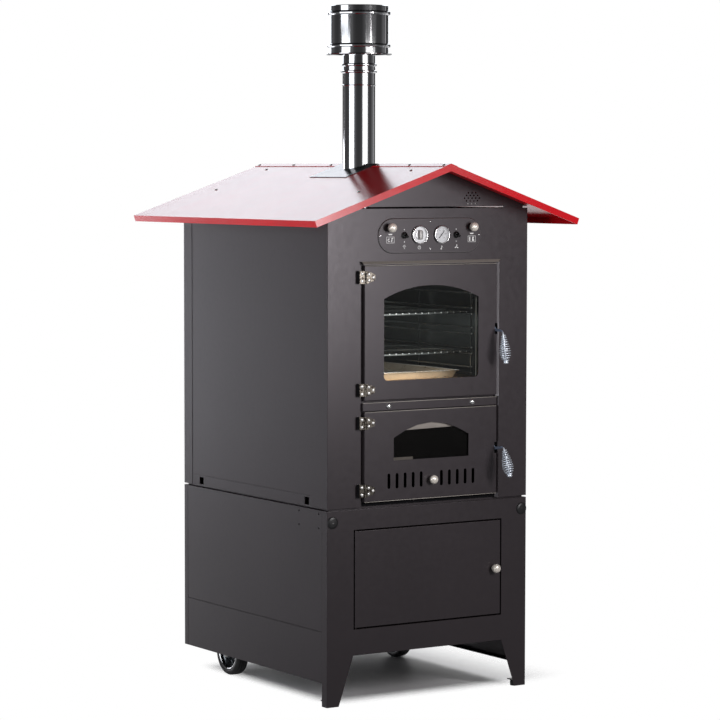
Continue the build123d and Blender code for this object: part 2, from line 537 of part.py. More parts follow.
# ======================= controls ========================================
def stadium(hx, hz, v0, v1, z):
    return bx(-hx + hz, hx - hz, v0, v1, z - hz, z + hz) + [cy(hz, v0, v1, -hx + hz, z), cy(hz, v0, v1, hx - hz, z)]


cp = stadium(206.5, 58, -4, 0, 1543.5)
cp = chamfer(cp.faces().sort_by(Axis.Y)[0].edges(), 3.7)
for s in (-1, 1):
    cp += cy(10, -7, -3.9, s * TOGGLE_X, TOGGLE_Z)
    cp -= cy(27.1, -5, 1, s * GAUGE_X, GAUGE_Z)
    cp -= cy(6.5, -8, -0.6, s * TOGGLE_X, TOGGLE_Z)
    cp -= cy(4.08, -5, 1, s * PULL_X, PULL_Z)
save("control_plate", cp)

case = rev([(0, -4.2), (27, -4.2), (27, -10.6), (27.8, -11.5), (29, -11.5), (30, -10), (30, -4), (27, -4), (27, 30), (0, 30)])
cases = [Pos(s * GAUGE_X, YF, GAUGE_Z) * Rot(-90, 0, 0) * case for s in (-1, 1)]
save("gauge_cases", *cases)

tk = [cy(16, -7.2, -4.5, -GAUGE_X, GAUGE_Z), bx(-GAUGE_X - 6.6, -GAUGE_X + 6.6, -17, -6.8, GAUGE_Z - 15, GAUGE_Z + 15)]
save("timer_knob", fuse(tk))

nd = cy(3.4, -6.6, -4.5, GAUGE_X, GAUGE_Z)
nd += Pos(GAUGE_X, Y(-5.7), GAUGE_Z) * Rot(0, -42, 0) * (Pos(5, 0, 0) * Box(24, 0.8, 1.4))
nd += Pos(GAUGE_X, Y(-5.7), GAUGE_Z) * Rot(0, -42, 0) * (Pos(-7, 0, 0) * Box(5, 0.8, 4.2))
save("thermometer_needle", nd)

for name, s in (("switch_lever_left", -1), ("switch_lever_right", 1)):
    lev = Rot(90, 0, 0) * rev([(0, -2.9), (3.2, -2.2), (3.2, 1.5), (2.5, 3.5), (3.2, 13), (4.2, 19), (3.6, 21.5), (0, 22.5)])
    save(name, Pos(s * TOGGLE_X, Y(-4), TOGGLE_Z) * Rot(12, 0, 0) * lev)

for name, s in (("damper_pull_left", -1), ("damper_pull_right", 1)):
    p = Pos(s * PULL_X, YF, PULL_Z) * Rot(90, 0, 0) * rev(
        [(0, -160), (4, -160), (4, 9.6), (6, 10.4), (11, 13.2), (14.4, 18.2), (15.1, 23.8), (14, 29.4), (10.2, 34.2), (4.2, 37.4), (0, 37.8)])
    p += bx(s * PULL_X - 14, s * PULL_X + 14, 140, 143, PULL_Z - 20, PULL_Z + 20)
    save(name, p)

print("done", len([f for f in os.listdir("parts") if f.endswith(".step")]), "parts")
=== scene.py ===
import json
import math

import bmesh
import bpy
from mathutils import Matrix, Vector

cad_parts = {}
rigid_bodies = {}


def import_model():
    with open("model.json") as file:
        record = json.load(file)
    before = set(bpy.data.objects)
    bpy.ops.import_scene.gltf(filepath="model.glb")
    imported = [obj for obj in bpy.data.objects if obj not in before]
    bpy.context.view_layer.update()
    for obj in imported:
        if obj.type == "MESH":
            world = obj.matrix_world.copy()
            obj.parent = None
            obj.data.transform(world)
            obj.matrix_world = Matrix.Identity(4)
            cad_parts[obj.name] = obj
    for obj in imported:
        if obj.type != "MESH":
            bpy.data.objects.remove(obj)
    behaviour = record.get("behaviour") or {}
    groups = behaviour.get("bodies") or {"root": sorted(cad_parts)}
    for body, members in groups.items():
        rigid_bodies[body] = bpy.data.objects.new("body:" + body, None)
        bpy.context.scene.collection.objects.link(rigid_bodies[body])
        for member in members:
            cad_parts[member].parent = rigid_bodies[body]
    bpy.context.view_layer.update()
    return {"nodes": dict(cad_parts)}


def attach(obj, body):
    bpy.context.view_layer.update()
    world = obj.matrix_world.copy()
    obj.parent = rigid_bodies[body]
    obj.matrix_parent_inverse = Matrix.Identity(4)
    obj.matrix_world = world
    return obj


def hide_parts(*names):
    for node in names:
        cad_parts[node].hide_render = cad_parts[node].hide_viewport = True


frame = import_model()
nodes = frame["nodes"]
ROOT = "casing"
YF = -0.4855


def Y(v):
    return YF + v / 1000.0


def P(x, v, z):
    """Point from millimetres: x, depth behind the casing's front face, height."""
    return Vector((x / 1000.0, YF + v / 1000.0, z / 1000.0))


# ------------------------------------------------------------------ materials
def material(name):
    m = bpy.data.materials.new(name)
    m.use_nodes = True
    nt = m.node_tree
    bsdf = next(n for n in nt.nodes if n.type == "BSDF_PRINCIPLED")
    return m, nt, bsdf


def node(nt, kind, **values):
    n = nt.nodes.new(kind)
    for k, v in values.items():
        if k.startswith("in_"):
            n.inputs[k[3:].replace("_", " ")].default_value = v
        else:
            setattr(n, k, v)
    return n


def coords(nt, scale=(1, 1, 1)):
    tc = node(nt, "ShaderNodeTexCoord")
    mp = node(nt, "ShaderNodeMapping")
    mp.inputs["Scale"].default_value = scale
    nt.links.new(tc.outputs["Object"], mp.inputs["Vector"])
    return mp.outputs["Vector"]


def noise(nt, vec, scale, detail=3.0, rough=0.55):
    n = node(nt, "ShaderNodeTexNoise")
    n.inputs["Scale"].default_value = scale
    n.inputs["Detail"].default_value = detail
    n.inputs["Roughness"].default_value = rough
    nt.links.new(vec, n.inputs["Vector"])
    return n.outputs["Fac"]


def remap(nt, fac, a, b, lo=0.3, hi=0.7):
    n = node(nt, "ShaderNodeMapRange")
    n.inputs["From Min"].default_value = lo
    n.inputs["From Max"].default_value = hi
    n.inputs["To Min"].default_value = a
    n.inputs["To Max"].default_value = b
    nt.links.new(fac, n.inputs["Value"])
    return n.outputs["Result"]


def ramp(nt, fac, stops):
    r = node(nt, "ShaderNodeValToRGB")
    els = r.color_ramp.elements
    els[0].position, els[0].color = stops[0][0], (*stops[0][1], 1)
    els[1].position, els[1].color = stops[-1][0], (*stops[-1][1], 1)
    for pos, col in stops[1:-1]:
        e = els.new(pos)
        e.color = (*col, 1)
    nt.links.new(fac, r.inputs["Fac"])
    return r.outputs["Color"]


def bump(nt, height, strength, distance, normal=None):
    b = node(nt, "ShaderNodeBump")
    b.inputs["Strength"].default_value = strength
    b.inputs["Distance"].default_value = distance
    nt.links.new(height, b.inputs["Height"])
    if normal is not None:
        nt.links.new(normal, b.inputs["Normal"])
    return b.outputs["Normal"]


def shade(c, k):
    return tuple(min(1.0, x * k) for x in c)


def powder(name, base, rough=0.42, grain=1300.0, depth=0.16, spec=0.5, tint=None, sheen_tint=None):
    """Fine-textured powder coat: slow colour drift, fine grain in roughness and relief."""
    m, nt, b = material(name)
    v = coords(nt)
    slow = noise(nt, v, 2.6, 4.0)
    c = ramp(nt, slow, [(0.32, shade(base, 0.93)), (0.5, base), (0.68, tint or shade(base, 1.07))])
    fine = noise(nt, v, grain, 2.0)
    mixc = node(nt, "ShaderNodeMix", data_type="RGBA", blend_type="OVERLAY")
    mixc.inputs["Factor"].default_value = 0.10
    nt.links.new(c, mixc.inputs["A"])
    nt.links.new(ramp(nt, fine, [(0.35, (0.35, 0.35, 0.35)), (0.65, (0.65, 0.65, 0.65))]), mixc.inputs["B"])
    nt.links.new(mixc.outputs["Result"], b.inputs["Base Color"])
    nt.links.new(remap(nt, noise(nt, v, 55.0, 4.0), rough - 0.03, rough + 0.04), b.inputs["Roughness"])
    b.inputs["Specular IOR Level"].default_value = spec
    if sheen_tint:
        b.inputs["Specular Tint"].default_value = (*sheen_tint, 1)
    nt.links.new(bump(nt, fine, depth, 0.00025), b.inputs["Normal"])
    return m


def gloss_paint(name, base, rough, coat=0.6):
    """Gloss stove paint with faint orange peel."""
    m, nt, b = material(name)
    v = coords(nt)
    slow = noise(nt, v, 3.5, 3.0)
    nt.links.new(ramp(nt, slow, [(0.3, shade(base, 0.92)), (0.7, shade(base, 1.06))]), b.inputs["Base Color"])
    nt.links.new(remap(nt, noise(nt, v, 30.0, 3.0), rough - 0.02, rough + 0.03), b.inputs["Roughness"])
    b.inputs["Coat Weight"].default_value = coat
    b.inputs["Coat Roughness"].default_value = 0.09
    peel = noise(nt, v, 160.0, 2.0)
    nt.links.new(bump(nt, peel, 0.06, 0.0006), b.inputs["Normal"])
    return m


def patchy(name, lo, hi, rough, scale):
    """Plating worn in patches: bare bright metal beside dark tarnish."""
    m, nt, b = material(name)
    v = coords(nt)
    s = noise(nt, v, scale, 3.0, 0.5)
    nt.links.new(ramp(nt, s, [(0.40, lo), (0.60, hi)]), b.inputs["Base Color"])
    nt.links.new(remap(nt, s, rough + 0.10, rough), b.inputs["Roughness"])
    b.inputs["Metallic"].default_value = 1.0
    nt.links.new(bump(nt, s, 0.04, 0.0003), b.inputs["Normal"])
    return m


def metal(name, base, rough, streak=(1, 1, 1), scale=60.0, var=0.05, depth=0.03, dark=0.9, metallic=1.0):
    """Bare metal with rolling or brushing marks along the axis where streak is small."""
    m, nt, b = material(name)
    v = coords(nt, streak)
    s = noise(nt, v, scale, 4.0, 0.6)
    nt.links.new(ramp(nt, s, [(0.3, shade(base, dark)), (0.7, base)]), b.inputs["Base Color"])
    nt.links.new(remap(nt, s, max(0.02, rough - var), rough + var), b.inputs["Roughness"])
    b.inputs["Metallic"].default_value = metallic
    nt.links.new(bump(nt, s, depth, 0.0004), b.inputs["Normal"])
    return m


def plastic(name, base, rough, scale=700.0, depth=0.1, spec=0.5):
    m, nt, b = material(name)
    b.inputs["Specular IOR Level"].default_value = spec
    v = coords(nt)
    s = noise(nt, v, scale, 2.0)
    slow = noise(nt, v, 18.0, 3.0)
    nt.links.new(ramp(nt, slow, [(0.3, shade(base, 0.85)), (0.7, shade(base, 1.15))]), b.inputs["Base Color"])
    nt.links.new(remap(nt, slow, rough - 0.05, rough + 0.05), b.inputs["Roughness"])
    nt.links.new(bump(nt, s, depth, 0.0003), b.inputs["Normal"])
    return m


def glass(name, tint, gloss_rough=0.02, smoke=0.0, ior=1.5):
    """Flat pane: tinted see-through with a mirror reflection by angle."""
    m = bpy.data.materials.new(name)
    m.use_nodes = True
    nt = m.node_tree
    nt.nodes.clear()
    out = node(nt, "ShaderNodeOutputMaterial")
    v = coords(nt)
    film = noise(nt, v, 9.0, 5.0, 0.6)
    see = node(nt, "ShaderNodeBsdfTransparent")
    nt.links.new(ramp(nt, film, [(0.3, shade(tint, 0.93)), (0.75, tint)]), see.inputs["Color"])
    gl = node(nt, "ShaderNodeBsdfGlossy")
    gl.inputs["Color"].default_value = (1, 1, 1, 1)
    nt.links.new(remap(nt, film, gloss_rough, gloss_rough + 0.02), gl.inputs["Roughness"])
    fr = node(nt, "ShaderNodeFresnel")
    fr.inputs["IOR"].default_value = ior
    mix = node(nt, "ShaderNodeMixShader")
    nt.links.new(fr.outputs["Fac"], mix.inputs["Fac"])
    nt.links.new(see.outputs["BSDF"], mix.inputs[1])
    nt.links.new(gl.outputs["BSDF"], mix.inputs[2])
    last = mix.outputs["Shader"]
    if smoke > 0:
        df = node(nt, "ShaderNodeBsdfDiffuse")
        df.inputs["Color"].default_value = (0.10, 0.11, 0.10, 1)
        mix2 = node(nt, "ShaderNodeMixShader")
        nt.links.new(remap(nt, film, smoke * 0.6, smoke * 1.4), mix2.inputs["Fac"])
        nt.links.new(last, mix2.inputs[1])
        nt.links.new(df.outputs["BSDF"], mix2.inputs[2])
        last = mix2.outputs["Shader"]
    nt.links.new(last, out.inputs["Surface"])
    return m


def stone(name, base):
    m, nt, b = material(name)
    v = coords(nt)
    s = noise(nt, v, 45.0, 6.0, 0.65)
    vor = node(nt, "ShaderNodeTexVoronoi")
    vor.inputs["Scale"].default_value = 260.0
    nt.links.new(v, vor.inputs["Vector"])
    c = ramp(nt, s, [(0.3, shade(base, 0.72)), (0.55, base), (0.75, shade(base, 1.18))])
    mixc = node(nt, "ShaderNodeMix", data_type="RGBA", blend_type="MULTIPLY")
    mixc.inputs["Factor"].default_value = 0.35
    nt.links.new(c, mixc.inputs["A"])
    nt.links.new(ramp(nt, vor.outputs["Distance"], [(0.0, (0.45, 0.4, 0.35)), (0.35, (1, 1, 1))]), mixc.inputs["B"])
    nt.links.new(mixc.outputs["Result"], b.inputs["Base Color"])
    nt.links.new(remap(nt, s, 0.8, 0.95), b.inputs["Roughness"])
    nt.links.new(bump(nt, s, 0.5, 0.0012), b.inputs["Normal"])
    return m


def printed(name, base, rough=0.55):
    """Screen-printed ink: even with the slightest mottle."""
    m, nt, b = material(name)
    v = coords(nt)
    s = noise(nt, v, 420.0, 3.0)
    nt.links.new(ramp(nt, s, [(0.3, shade(base, 0.92)), (0.7, base)]), b.inputs["Base Color"])
    nt.links.new(remap(nt, s, rough - 0.04, rough + 0.06), b.inputs["Roughness"])
    nt.links.new(bump(nt, s, 0.05, 0.0001), b.inputs["Normal"])
    return m


PAINT = powder("powder_coat_dark", (0.034, 0.0275, 0.0300), rough=0.33, sheen_tint=(1.0, 0.95, 0.995))
PAINT_IN = powder("powder_coat_inside", (0.035, 0.031, 0.031), rough=0.55)
PLATE = powder("powder_coat_plate", (0.033, 0.0270, 0.0295), rough=0.36, sheen_tint=(1.0, 0.95, 0.995))
# taupe for the fire shelf; painted highlight where it covers the drip ledge's face and the upper window's cut edge
TAUPE_AND_HIGHLIGHT = powder("taupe_and_painted_highlight", (0.20, 0.185, 0.165), rough=0.42)
RED = gloss_paint("gloss_red", (0.76, 0.0065, 0.015), 0.185, coat=0.0)
FLUE = metal("flue_steel", (0.66, 0.66, 0.67), 0.085, streak=(1, 1, 0.05), scale=90.0, var=0.02, depth=0.012)
FLASH = metal("flashing_steel", (0.40, 0.40, 0.42), 0.22, streak=(0.08, 1, 1), scale=70.0, var=0.05, depth=0.02)
next(n for n in FLASH.node_tree.nodes if n.type == "BSDF_PRINCIPLED").inputs["Specular Tint"].default_value = (0.68, 0.66, 0.65, 1)
ZINC = metal("zinc", (0.62, 0.61, 0.58), 0.28, scale=220.0, var=0.08, depth=0.06)
CHROME = metal("chrome_plate", (0.80, 0.80, 0.80), 0.07, scale=300.0, var=0.03, depth=0.015)
NICKEL = metal("nickel_ball", (0.84, 0.79, 0.72), 0.28, scale=200.0, var=0.03, depth=0.01)
DISC = metal("wheel_disc", (0.13, 0.14, 0.15), 0.24, scale=120.0, var=0.04, depth=0.02)
WIRE = metal("wire_chrome", (0.60, 0.61, 0.60), 0.16, scale=260.0, var=0.05, depth=0.03, metallic=0.9)
COIL = metal("coil_wire", (0.84, 0.90, 0.98), 0.24, scale=260.0, var=0.05, depth=0.03, metallic=0.6)
LEVER = metal("lever_steel", (0.20, 0.24, 0.33), 0.36, scale=180.0, var=0.08, depth=0.05, metallic=0.4)
CHAMBER = metal("chamber_steel", (0.195, 0.205, 0.203), 0.36, streak=(1, 0.15, 1), scale=26.0, var=0.10, depth=0.05, dark=0.7, metallic=0.55)
TRAY = metal("tray_steel", (0.58, 0.56, 0.51), 0.34, streak=(0.2, 1, 1), scale=40.0, var=0.08, depth=0.04, dark=0.8, metallic=0.6)
STEEL = metal("inner_steel", (0.34, 0.34, 0.33), 0.34, scale=60.0, var=0.08, depth=0.05)
IRON = plastic("cast_iron", (0.030, 0.028, 0.026), 0.62, scale=160.0, depth=0.5)
BLACK = plastic("black_plastic", (0.010, 0.010, 0.011), 0.38)
RUBBER = plastic("rubber", (0.012, 0.012, 0.012), 0.62, scale=420.0, depth=0.25)
TYRE = plastic("tyre_rubber", (0.014, 0.014, 0.014), 0.55, scale=380.0, depth=0.3)
ROPE = plastic("gasket_rope", (0.035, 0.033, 0.030), 0.9, scale=900.0, depth=1.0)
WOOL = plastic("fibre_wool", (0.72, 0.70, 0.66), 0.95, scale=300.0, depth=0.8)
STONE = stone("refractory", (0.56, 0.43, 0.29))
DOOR_GLASS = glass("door_glass", (0.90, 0.92, 0.91), ior=1.32)
FIRE_GLASS = glass("fire_glass", (0.91, 0.90, 0.89), ior=1.12)
LENS = glass("gauge_lens", (0.96, 0.96, 0.96), ior=1.15)
LAMP_GLASS = glass("lamp_glass", (0.75, 0.75, 0.70), 0.10)
DIAL = printed("dial_white", (0.80, 0.80, 0.82))
INK = printed("ink_white", (0.74, 0.74, 0.73))
INK_DARK = printed("ink_dark", (0.02, 0.02, 0.022))
INK_GREY = printed("ink_grey", (0.38, 0.38, 0.39))
SKIRT = metal("skirt_alloy", (0.60, 0.60, 0.61), 0.32, scale=260.0, var=0.04, depth=0.02, metallic=0.35)
BAR = metal("bar_alloy", (0.36, 0.35, 0.34), 0.42, scale=240.0, var=0.05, depth=0.03, metallic=0.5)
PALE = metal("pale_ball", (0.84, 0.78, 0.70), 0.30, scale=240.0, var=0.04, depth=0.01, metallic=0.4)
BOLT = metal("bolt_chrome", (0.72, 0.72, 0.71), 0.16, scale=260.0, var=0.05, depth=0.02, metallic=0.92)
BRIGHT = metal("bright_zinc", (0.93, 0.92, 0.90), 0.26, scale=260.0, var=0.05, depth=0.02, metallic=0.5)
HINGE = patchy("hinge_chrome", (0.03, 0.024, 0.02), (0.21, 0.19, 0.16), 0.22, 130.0)
# painted highlight: pale tubes along folded edges stand in for the light the bends catch
FOLD_HIGHLIGHT = powder("fold_painted_highlight", (0.40, 0.37, 0.33), rough=0.30)
# painted light: paler ring on the control plate's chamfered rim
PLATE_RIM_LIGHT = powder("plate_rim_painted_light", (0.17, 0.162, 0.165), rough=0.40)
# painted light: pale sheet on the lip's inner slope
LIP_LIGHT = powder("lip_painted_light", (0.42, 0.40, 0.42), rough=0.34)
# near-black with almost no gloss: the air slide's own black, and painted shade where it fills the fire window and the
# air slots
BLACK_AND_SHADE = plastic("black_and_painted_shade", (0.0045, 0.0045, 0.0045), 0.5, spec=0.06)
# painted shade: black for the latch slots, the lip beside them and the gap under the lower door
SHADE_BLACK = plastic("painted_shade_black", (0.006, 0.006, 0.007), 0.6, spec=0.05)
LIGHT_STEEL = metal("deflector_steel", (0.50, 0.475, 0.45), 0.38, streak=(0.15, 1, 1), scale=50.0, var=0.08, depth=0.03, metallic=0.4)

LOOK = {
    "base_front_frame": PAINT, "base_side_panels": PAINT, "base_skirts": PAINT, "base_rear_frame": PAINT,
    "base_floor": PAINT_IN, "base_caps": BLACK, "front_feet": RUBBER, "wheel_axle": ZINC,
    "wheel_left": TYRE, "wheel_right": TYRE, "base_door": PAINT, "base_door_knob": PALE,
    "front_panel": PAINT, "side_panel_left": PAINT, "side_panel_right": PAINT, "rear_panel": PAINT,
    "floor_pan": PAINT, "door_surround": PAINT, "mid_bar": PAINT, "front_gable": PAINT, "rear_gable": PAINT,
    "roof_panel_left": RED, "roof_panel_right": RED, "ridge_cap": RED, "roof_screws": ZINC,
    "flue_flashing": FLASH, "flue_pipe": FLUE, "chimney_cowl": FLUE, "baking_chamber": CHAMBER,
    "insulation": WOOL, "refractory_floor": STONE, "firebox": IRON, "fire_grate": IRON, "ash_drawer": STEEL,
    "rack_supports": WIRE, "rack_upper": WIRE, "rack_lower": WIRE, "drip_tray": TRAY, "fan_wheel": STEEL,
    "oven_lamp": LAMP_GLASS, "fan_motor_and_gland": BLACK, "upper_door": PAINT, "upper_door_glass": DOOR_GLASS,
    "upper_door_retainer": IRON, "lower_door": PAINT, "lower_door_glass": FIRE_GLASS, "air_slide": BLACK_AND_SHADE,
    "hinge_body_leaves": HINGE, "hinge_upper_leaves": HINGE, "hinge_lower_leaves": HINGE,
    "latch_upper": COIL, "latch_lower": COIL, "control_plate": PLATE, "damper_pull_left": PALE,
    "damper_pull_right": PALE, "gauge_cases": CHROME, "timer_knob": NICKEL, "thermometer_needle": INK_DARK,
    "switch_lever_left": BLACK, "switch_lever_right": BLACK,
}
for n, mat in LOOK.items():
    o = nodes[n]
    o.data.materials.clear()
    o.data.materials.append(mat)


# ------------------------------------------------------------------ mesh tools
def add(name, verts, faces, mat, body, smooth=False, slot=None):
    me = bpy.data.meshes.new(name)
    me.from_pydata([tuple(v) for v in verts], [], faces)
    me.materials.append(mat)
    me.validate()
    bm = bmesh.new()
    bm.from_mesh(me)
    bmesh.ops.recalc_face_normals(bm, faces=bm.faces)
    bm.to_mesh(me)
    bm.free()
    for p in me.polygons:
        p.use_smooth = smooth
    o = bpy.data.objects.new(name, me)
    bpy.context.scene.collection.objects.link(o)
    if body:
        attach(o, body)
    return o


def sharpen(o, angle=35):
    """Smooth shading that keeps folds sharp."""
    me = o.data
    for p in me.polygons:
        p.use_smooth = True
    bm = bmesh.new()
    bm.from_mesh(me)
    lim = math.radians(angle)
    for e in bm.edges:
        e.smooth = not (len(e.link_faces) == 2 and e.calc_face_angle(0) > lim)
    bm.to_mesh(me)
    bm.free()
    return o


def frame_from(axis):
    z = Vector(axis).normalized()
    x = z.orthogonal().normalized()
    if abs(z.z) > 0.99:
        x = Vector((1, 0, 0))
    y = z.cross(x)
    return x, y, z


def lathe(profile, centre, axis, segs=48, turn=0.0):
    """Verts and faces for (radius, height) in mm turned about axis through centre."""
    x, y, z = frame_from(axis)
    verts, faces = [], []
    for r, h in profile:
        for i in range(segs):
            a = 2 * math.pi * i / segs + turn
            verts.append(centre + (x * math.cos(a) + y * math.sin(a)) * (r / 1000.0) + z * (h / 1000.0))
    n = len(profile)
    for j in range(n - 1):
        for i in range(segs):
            k = (i + 1) % segs
            faces.append((j * segs + i, j * segs + k, (j + 1) * segs + k, (j + 1) * segs + i))
    if profile[0][0] > 0.001:
        faces.append(tuple(reversed(range(segs))))
    if profile[-1][0] > 0.001:
        faces.append(tuple(range((n - 1) * segs, n * segs)))
    return verts, faces


def closed_lathe(profile, centre, axis, segs=64):
    """As lathe, with the profile closed on itself (a ring)."""
    x, y, z = frame_from(axis)
    verts, faces = [], []
    for r, h in profile:
        for i in range(segs):
            a = 2 * math.pi * i / segs
            verts.append(centre + (x * math.cos(a) + y * math.sin(a)) * (r / 1000.0) + z * (h / 1000.0))
    n = len(profile)
    for j in range(n):
        jj = (j + 1) % n
        for i in range(segs):
            k = (i + 1) % segs
            faces.append((j * segs + i, j * segs + k, jj * segs + k, jj * segs + i))
    return verts, faces


def join(*parts):
    verts, faces = [], []
    for v, f in parts:
        base = len(verts)
        verts += v
        faces += [tuple(i + base for i in q) for q in f]
    return verts, faces


def tube(points, radius, segs=12, closed=False):
    """Round tube along points (metres), with a frame carried along so it never twists."""
    pts = [Vector(p) for p in points]
    n = len(pts)
    tang = []
    for i in range(n):
        if closed:
            t = pts[(i + 1) % n] - pts[i - 1]
        else:
            t = pts[min(n - 1, i + 1)] - pts[max(0, i - 1)]
        tang.append(t.normalized())
    x = tang[0].orthogonal().normalized()
    verts, faces = [], []
    for i in range(n):
        x = (x - tang[i] * x.dot(tang[i])).normalized()
        y = tang[i].cross(x)
        r = radius[i] if isinstance(radius, (list, tuple)) else radius
        for k in range(segs):
            a = 2 * math.pi * k / segs
            verts.append(pts[i] + (x * math.cos(a) + y * math.sin(a)) * (r / 1000.0))
    rings = n if closed else n - 1
    for i in range(rings):
        j = (i + 1) % n
        for k in range(segs):
            l = (k + 1) % segs
            faces.append((i * segs + k, i * segs + l, j * segs + l, j * segs + k))
    if not closed:
        faces.append(tuple(reversed(range(segs))))
        faces.append(tuple(range((n - 1) * segs, n * segs)))
    return verts, faces


def slab(outline, v0, v1):
    """Flat piece with (x, z) outline in mm between depths v0 and v1."""
    n = len(outline)
    verts = [P(x, v0, z) for x, z in outline] + [P(x, v1, z) for x, z in outline]
    faces = [tuple(range(n)), tuple(reversed(range(n, 2 * n)))]
    for i in range(n):
        j = (i + 1) % n
        faces.append((i, i + n, j + n, j))
    return verts, faces


def ring(cx, cz, r0, r1, v0, v1, segs=40, a0=0.0, a1=360.0):
    """Flat annulus or arc facing forward."""
    full = abs(a1 - a0) > 359.9
    m = segs if full else segs + 1
    A = [math.radians(a0 + (a1 - a0) * i / segs) for i in range(m)]
    verts = []
    for v in (v0, v1):
        for r in (r0, r1):
            verts += [P(cx + r * math.cos(a), v, cz + r * math.sin(a)) for a in A]
    faces = []
    last = m if full else m - 1
    for i in range(last):
        j = (i + 1) % m
        faces += [(i, j, m + j, m + i), (2 * m + i, 3 * m + i, 3 * m + j, 2 * m + j),
                  (m + i, m + j, 3 * m + j, 3 * m + i), (i, 2 * m + i, 2 * m + j, j)]
    if not full:
        faces += [(0, m, 3 * m, 2 * m), (m - 1, 3 * m - 1, 4 * m - 1, 2 * m - 1)]
    return verts, faces


def dome(centre, axis, r=4.2, h=2.6, slot=True):
    """Dome screw head with a hex socket."""
    prof = [(r, 0), (r * 0.98, h * 0.25), (r * 0.86, h * 0.6), (r * 0.6, h * 0.9), (r * 0.42, h)]
    if slot:
        prof += [(r * 0.38, h * 0.98), (r * 0.34, h * 0.45), (0.0, h * 0.4)]
    else:
        prof += [(0.0, h * 1.04)]
    return lathe(prof, centre, axis, 24)


def rounded(points, radius, steps=5):
    """Rounds the corners of a closed (x, z) outline."""
    out = []
    n = len(points)
    for i in range(n):
        a, b, c = Vector(points[i - 1]), Vector(points[i]), Vector(points[(i + 1) % n])
        r = radius[i] if isinstance(radius, (list, tuple)) else radius
        if r <= 0:
            out.append((b.x, b.y))
            continue
        d0, d1 = (a - b).normalized(), (c - b).normalized()
        half = math.acos(max(-1, min(1, d0.dot(d1)))) / 2
        t = r / math.tan(half)
        p0, p1 = b + d0 * t, b + d1 * t
        cen = b + (d0 + d1).normalized() * (r / math.sin(half))
        a0 = math.atan2((p0 - cen).y, (p0 - cen).x)
        a1 = math.atan2((p1 - cen).y, (p1 - cen).x)
        da = (a1 - a0 + math.pi) % (2 * math.pi) - math.pi
        for k in range(steps + 1):
            q = a0 + da * k / steps
            out.append((cen.x + r * math.cos(q), cen.y + r * math.sin(q)))
    return out


# ------------------------------------------------------------------ wheels
def wheel(name, node_name, body, sgn):
    c = P(sgn * 342.5, 715, 80)
    ax = Vector((sgn, 0, 0))
    # tyre with three grooves round the tread
    t = [(61.5, -20), (63, -21.6), (68, -22.4), (74, -21.4), (77.6, -18.5), (79.4, -14.5), (79.7, -13.6), (77.6, -12.8),
         (77.6, -11.4), (79.9, -10.6), (80.0, -4.4), (77.8, -3.8), (77.8, -2.4), (80.0, -1.8), (80.0, 1.8), (77.8, 2.4),
         (77.8, 3.8), (80.0, 4.4), (79.9, 10.6), (77.6, 11.4), (77.6, 12.8), (79.7, 13.6), (79.4, 14.5), (77.6, 18.5),
         (74, 21.4), (68, 22.4), (63, 21.6), (61.5, 20), (60.5, 8), (60.5, -8)]
    tyre = sharpen(add(name + "_tyre", *closed_lathe(t, c, ax, 96), TYRE, body, True, "wheel"), 40)
    # rim: rolled outer lip, dished disc and a stepped hub
    rprof = [(61.4, 19.6), (60.4, 21.4), (58.2, 21.8), (55.6, 20.6), (54.6, 17.5), (53.6, 8.5), (50, 5.2), (41, 4.0), (30, 6.2),
             (25, 10.5), (22.5, 15), (21.5, 18.5), (19, 20.0), (11.5, 20.2), (10.2, 19.0), (10.2, -19), (19, -20),
             (22, -16), (26, -8), (50, -5), (53.6, -8.5), (54.6, -17.5), (58.2, -21.8), (61.4, -19.6), (60.9, 0)]
    rim = sharpen(add(name + "_rim", *closed_lathe(rprof, c, ax, 72), DISC, body, True, "wheel"), 35)
    lprof = [(61.5, 19.7), (60.5, 21.6), (58.2, 22.0), (55.4, 20.8), (54.3, 17.5), (54.2, 15.5), (60.0, 15.5)]
    add(name + "_lip", *closed_lathe(lprof, c, ax, 72), CHROME, body, True, "wheel")
    # six stiffening ribs pressed round the disc
    parts = []
    x, y, z = frame_from(ax)
    for i in range(6):
        a = 2 * math.pi * (i + 0.5) / 6
        d = x * math.cos(a) + y * math.sin(a)
        pts = [c + d * (r / 1000.0) + z * (h / 1000.0) for r, h in ((27, 9.5), (33, 7.6), (40, 6.2), (47, 6.0), (51, 6.8))]
        parts.append(tube(pts, [2.2, 3.0, 3.2, 3.0, 2.0], 10))
    ribs = add(name + "_ribs", *join(*parts), DISC, body, True, "wheel")
    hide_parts(node_name)
    return tyre, rim, ribs


wheel("wheel_l", "wheel_left", "wheel_left_body", -1)
wheel("wheel_r", "wheel_right", "wheel_right_body", 1)
# axle nuts outside the collars
for s in (-1, 1):
    nut = lathe([(9.5, -0.6), (10.2, 0.2), (10.2, 5.6), (9.2, 6.6), (6.2, 6.9), (5.8, 8.2), (0, 8.8)], P(s * 362.8, 715, 80), (s, 0, 0), 6)
    sharpen(add("axle_nut_%s" % ("l" if s < 0 else "r"), *nut, ZINC, ROOT, True, "zinc"), 25)


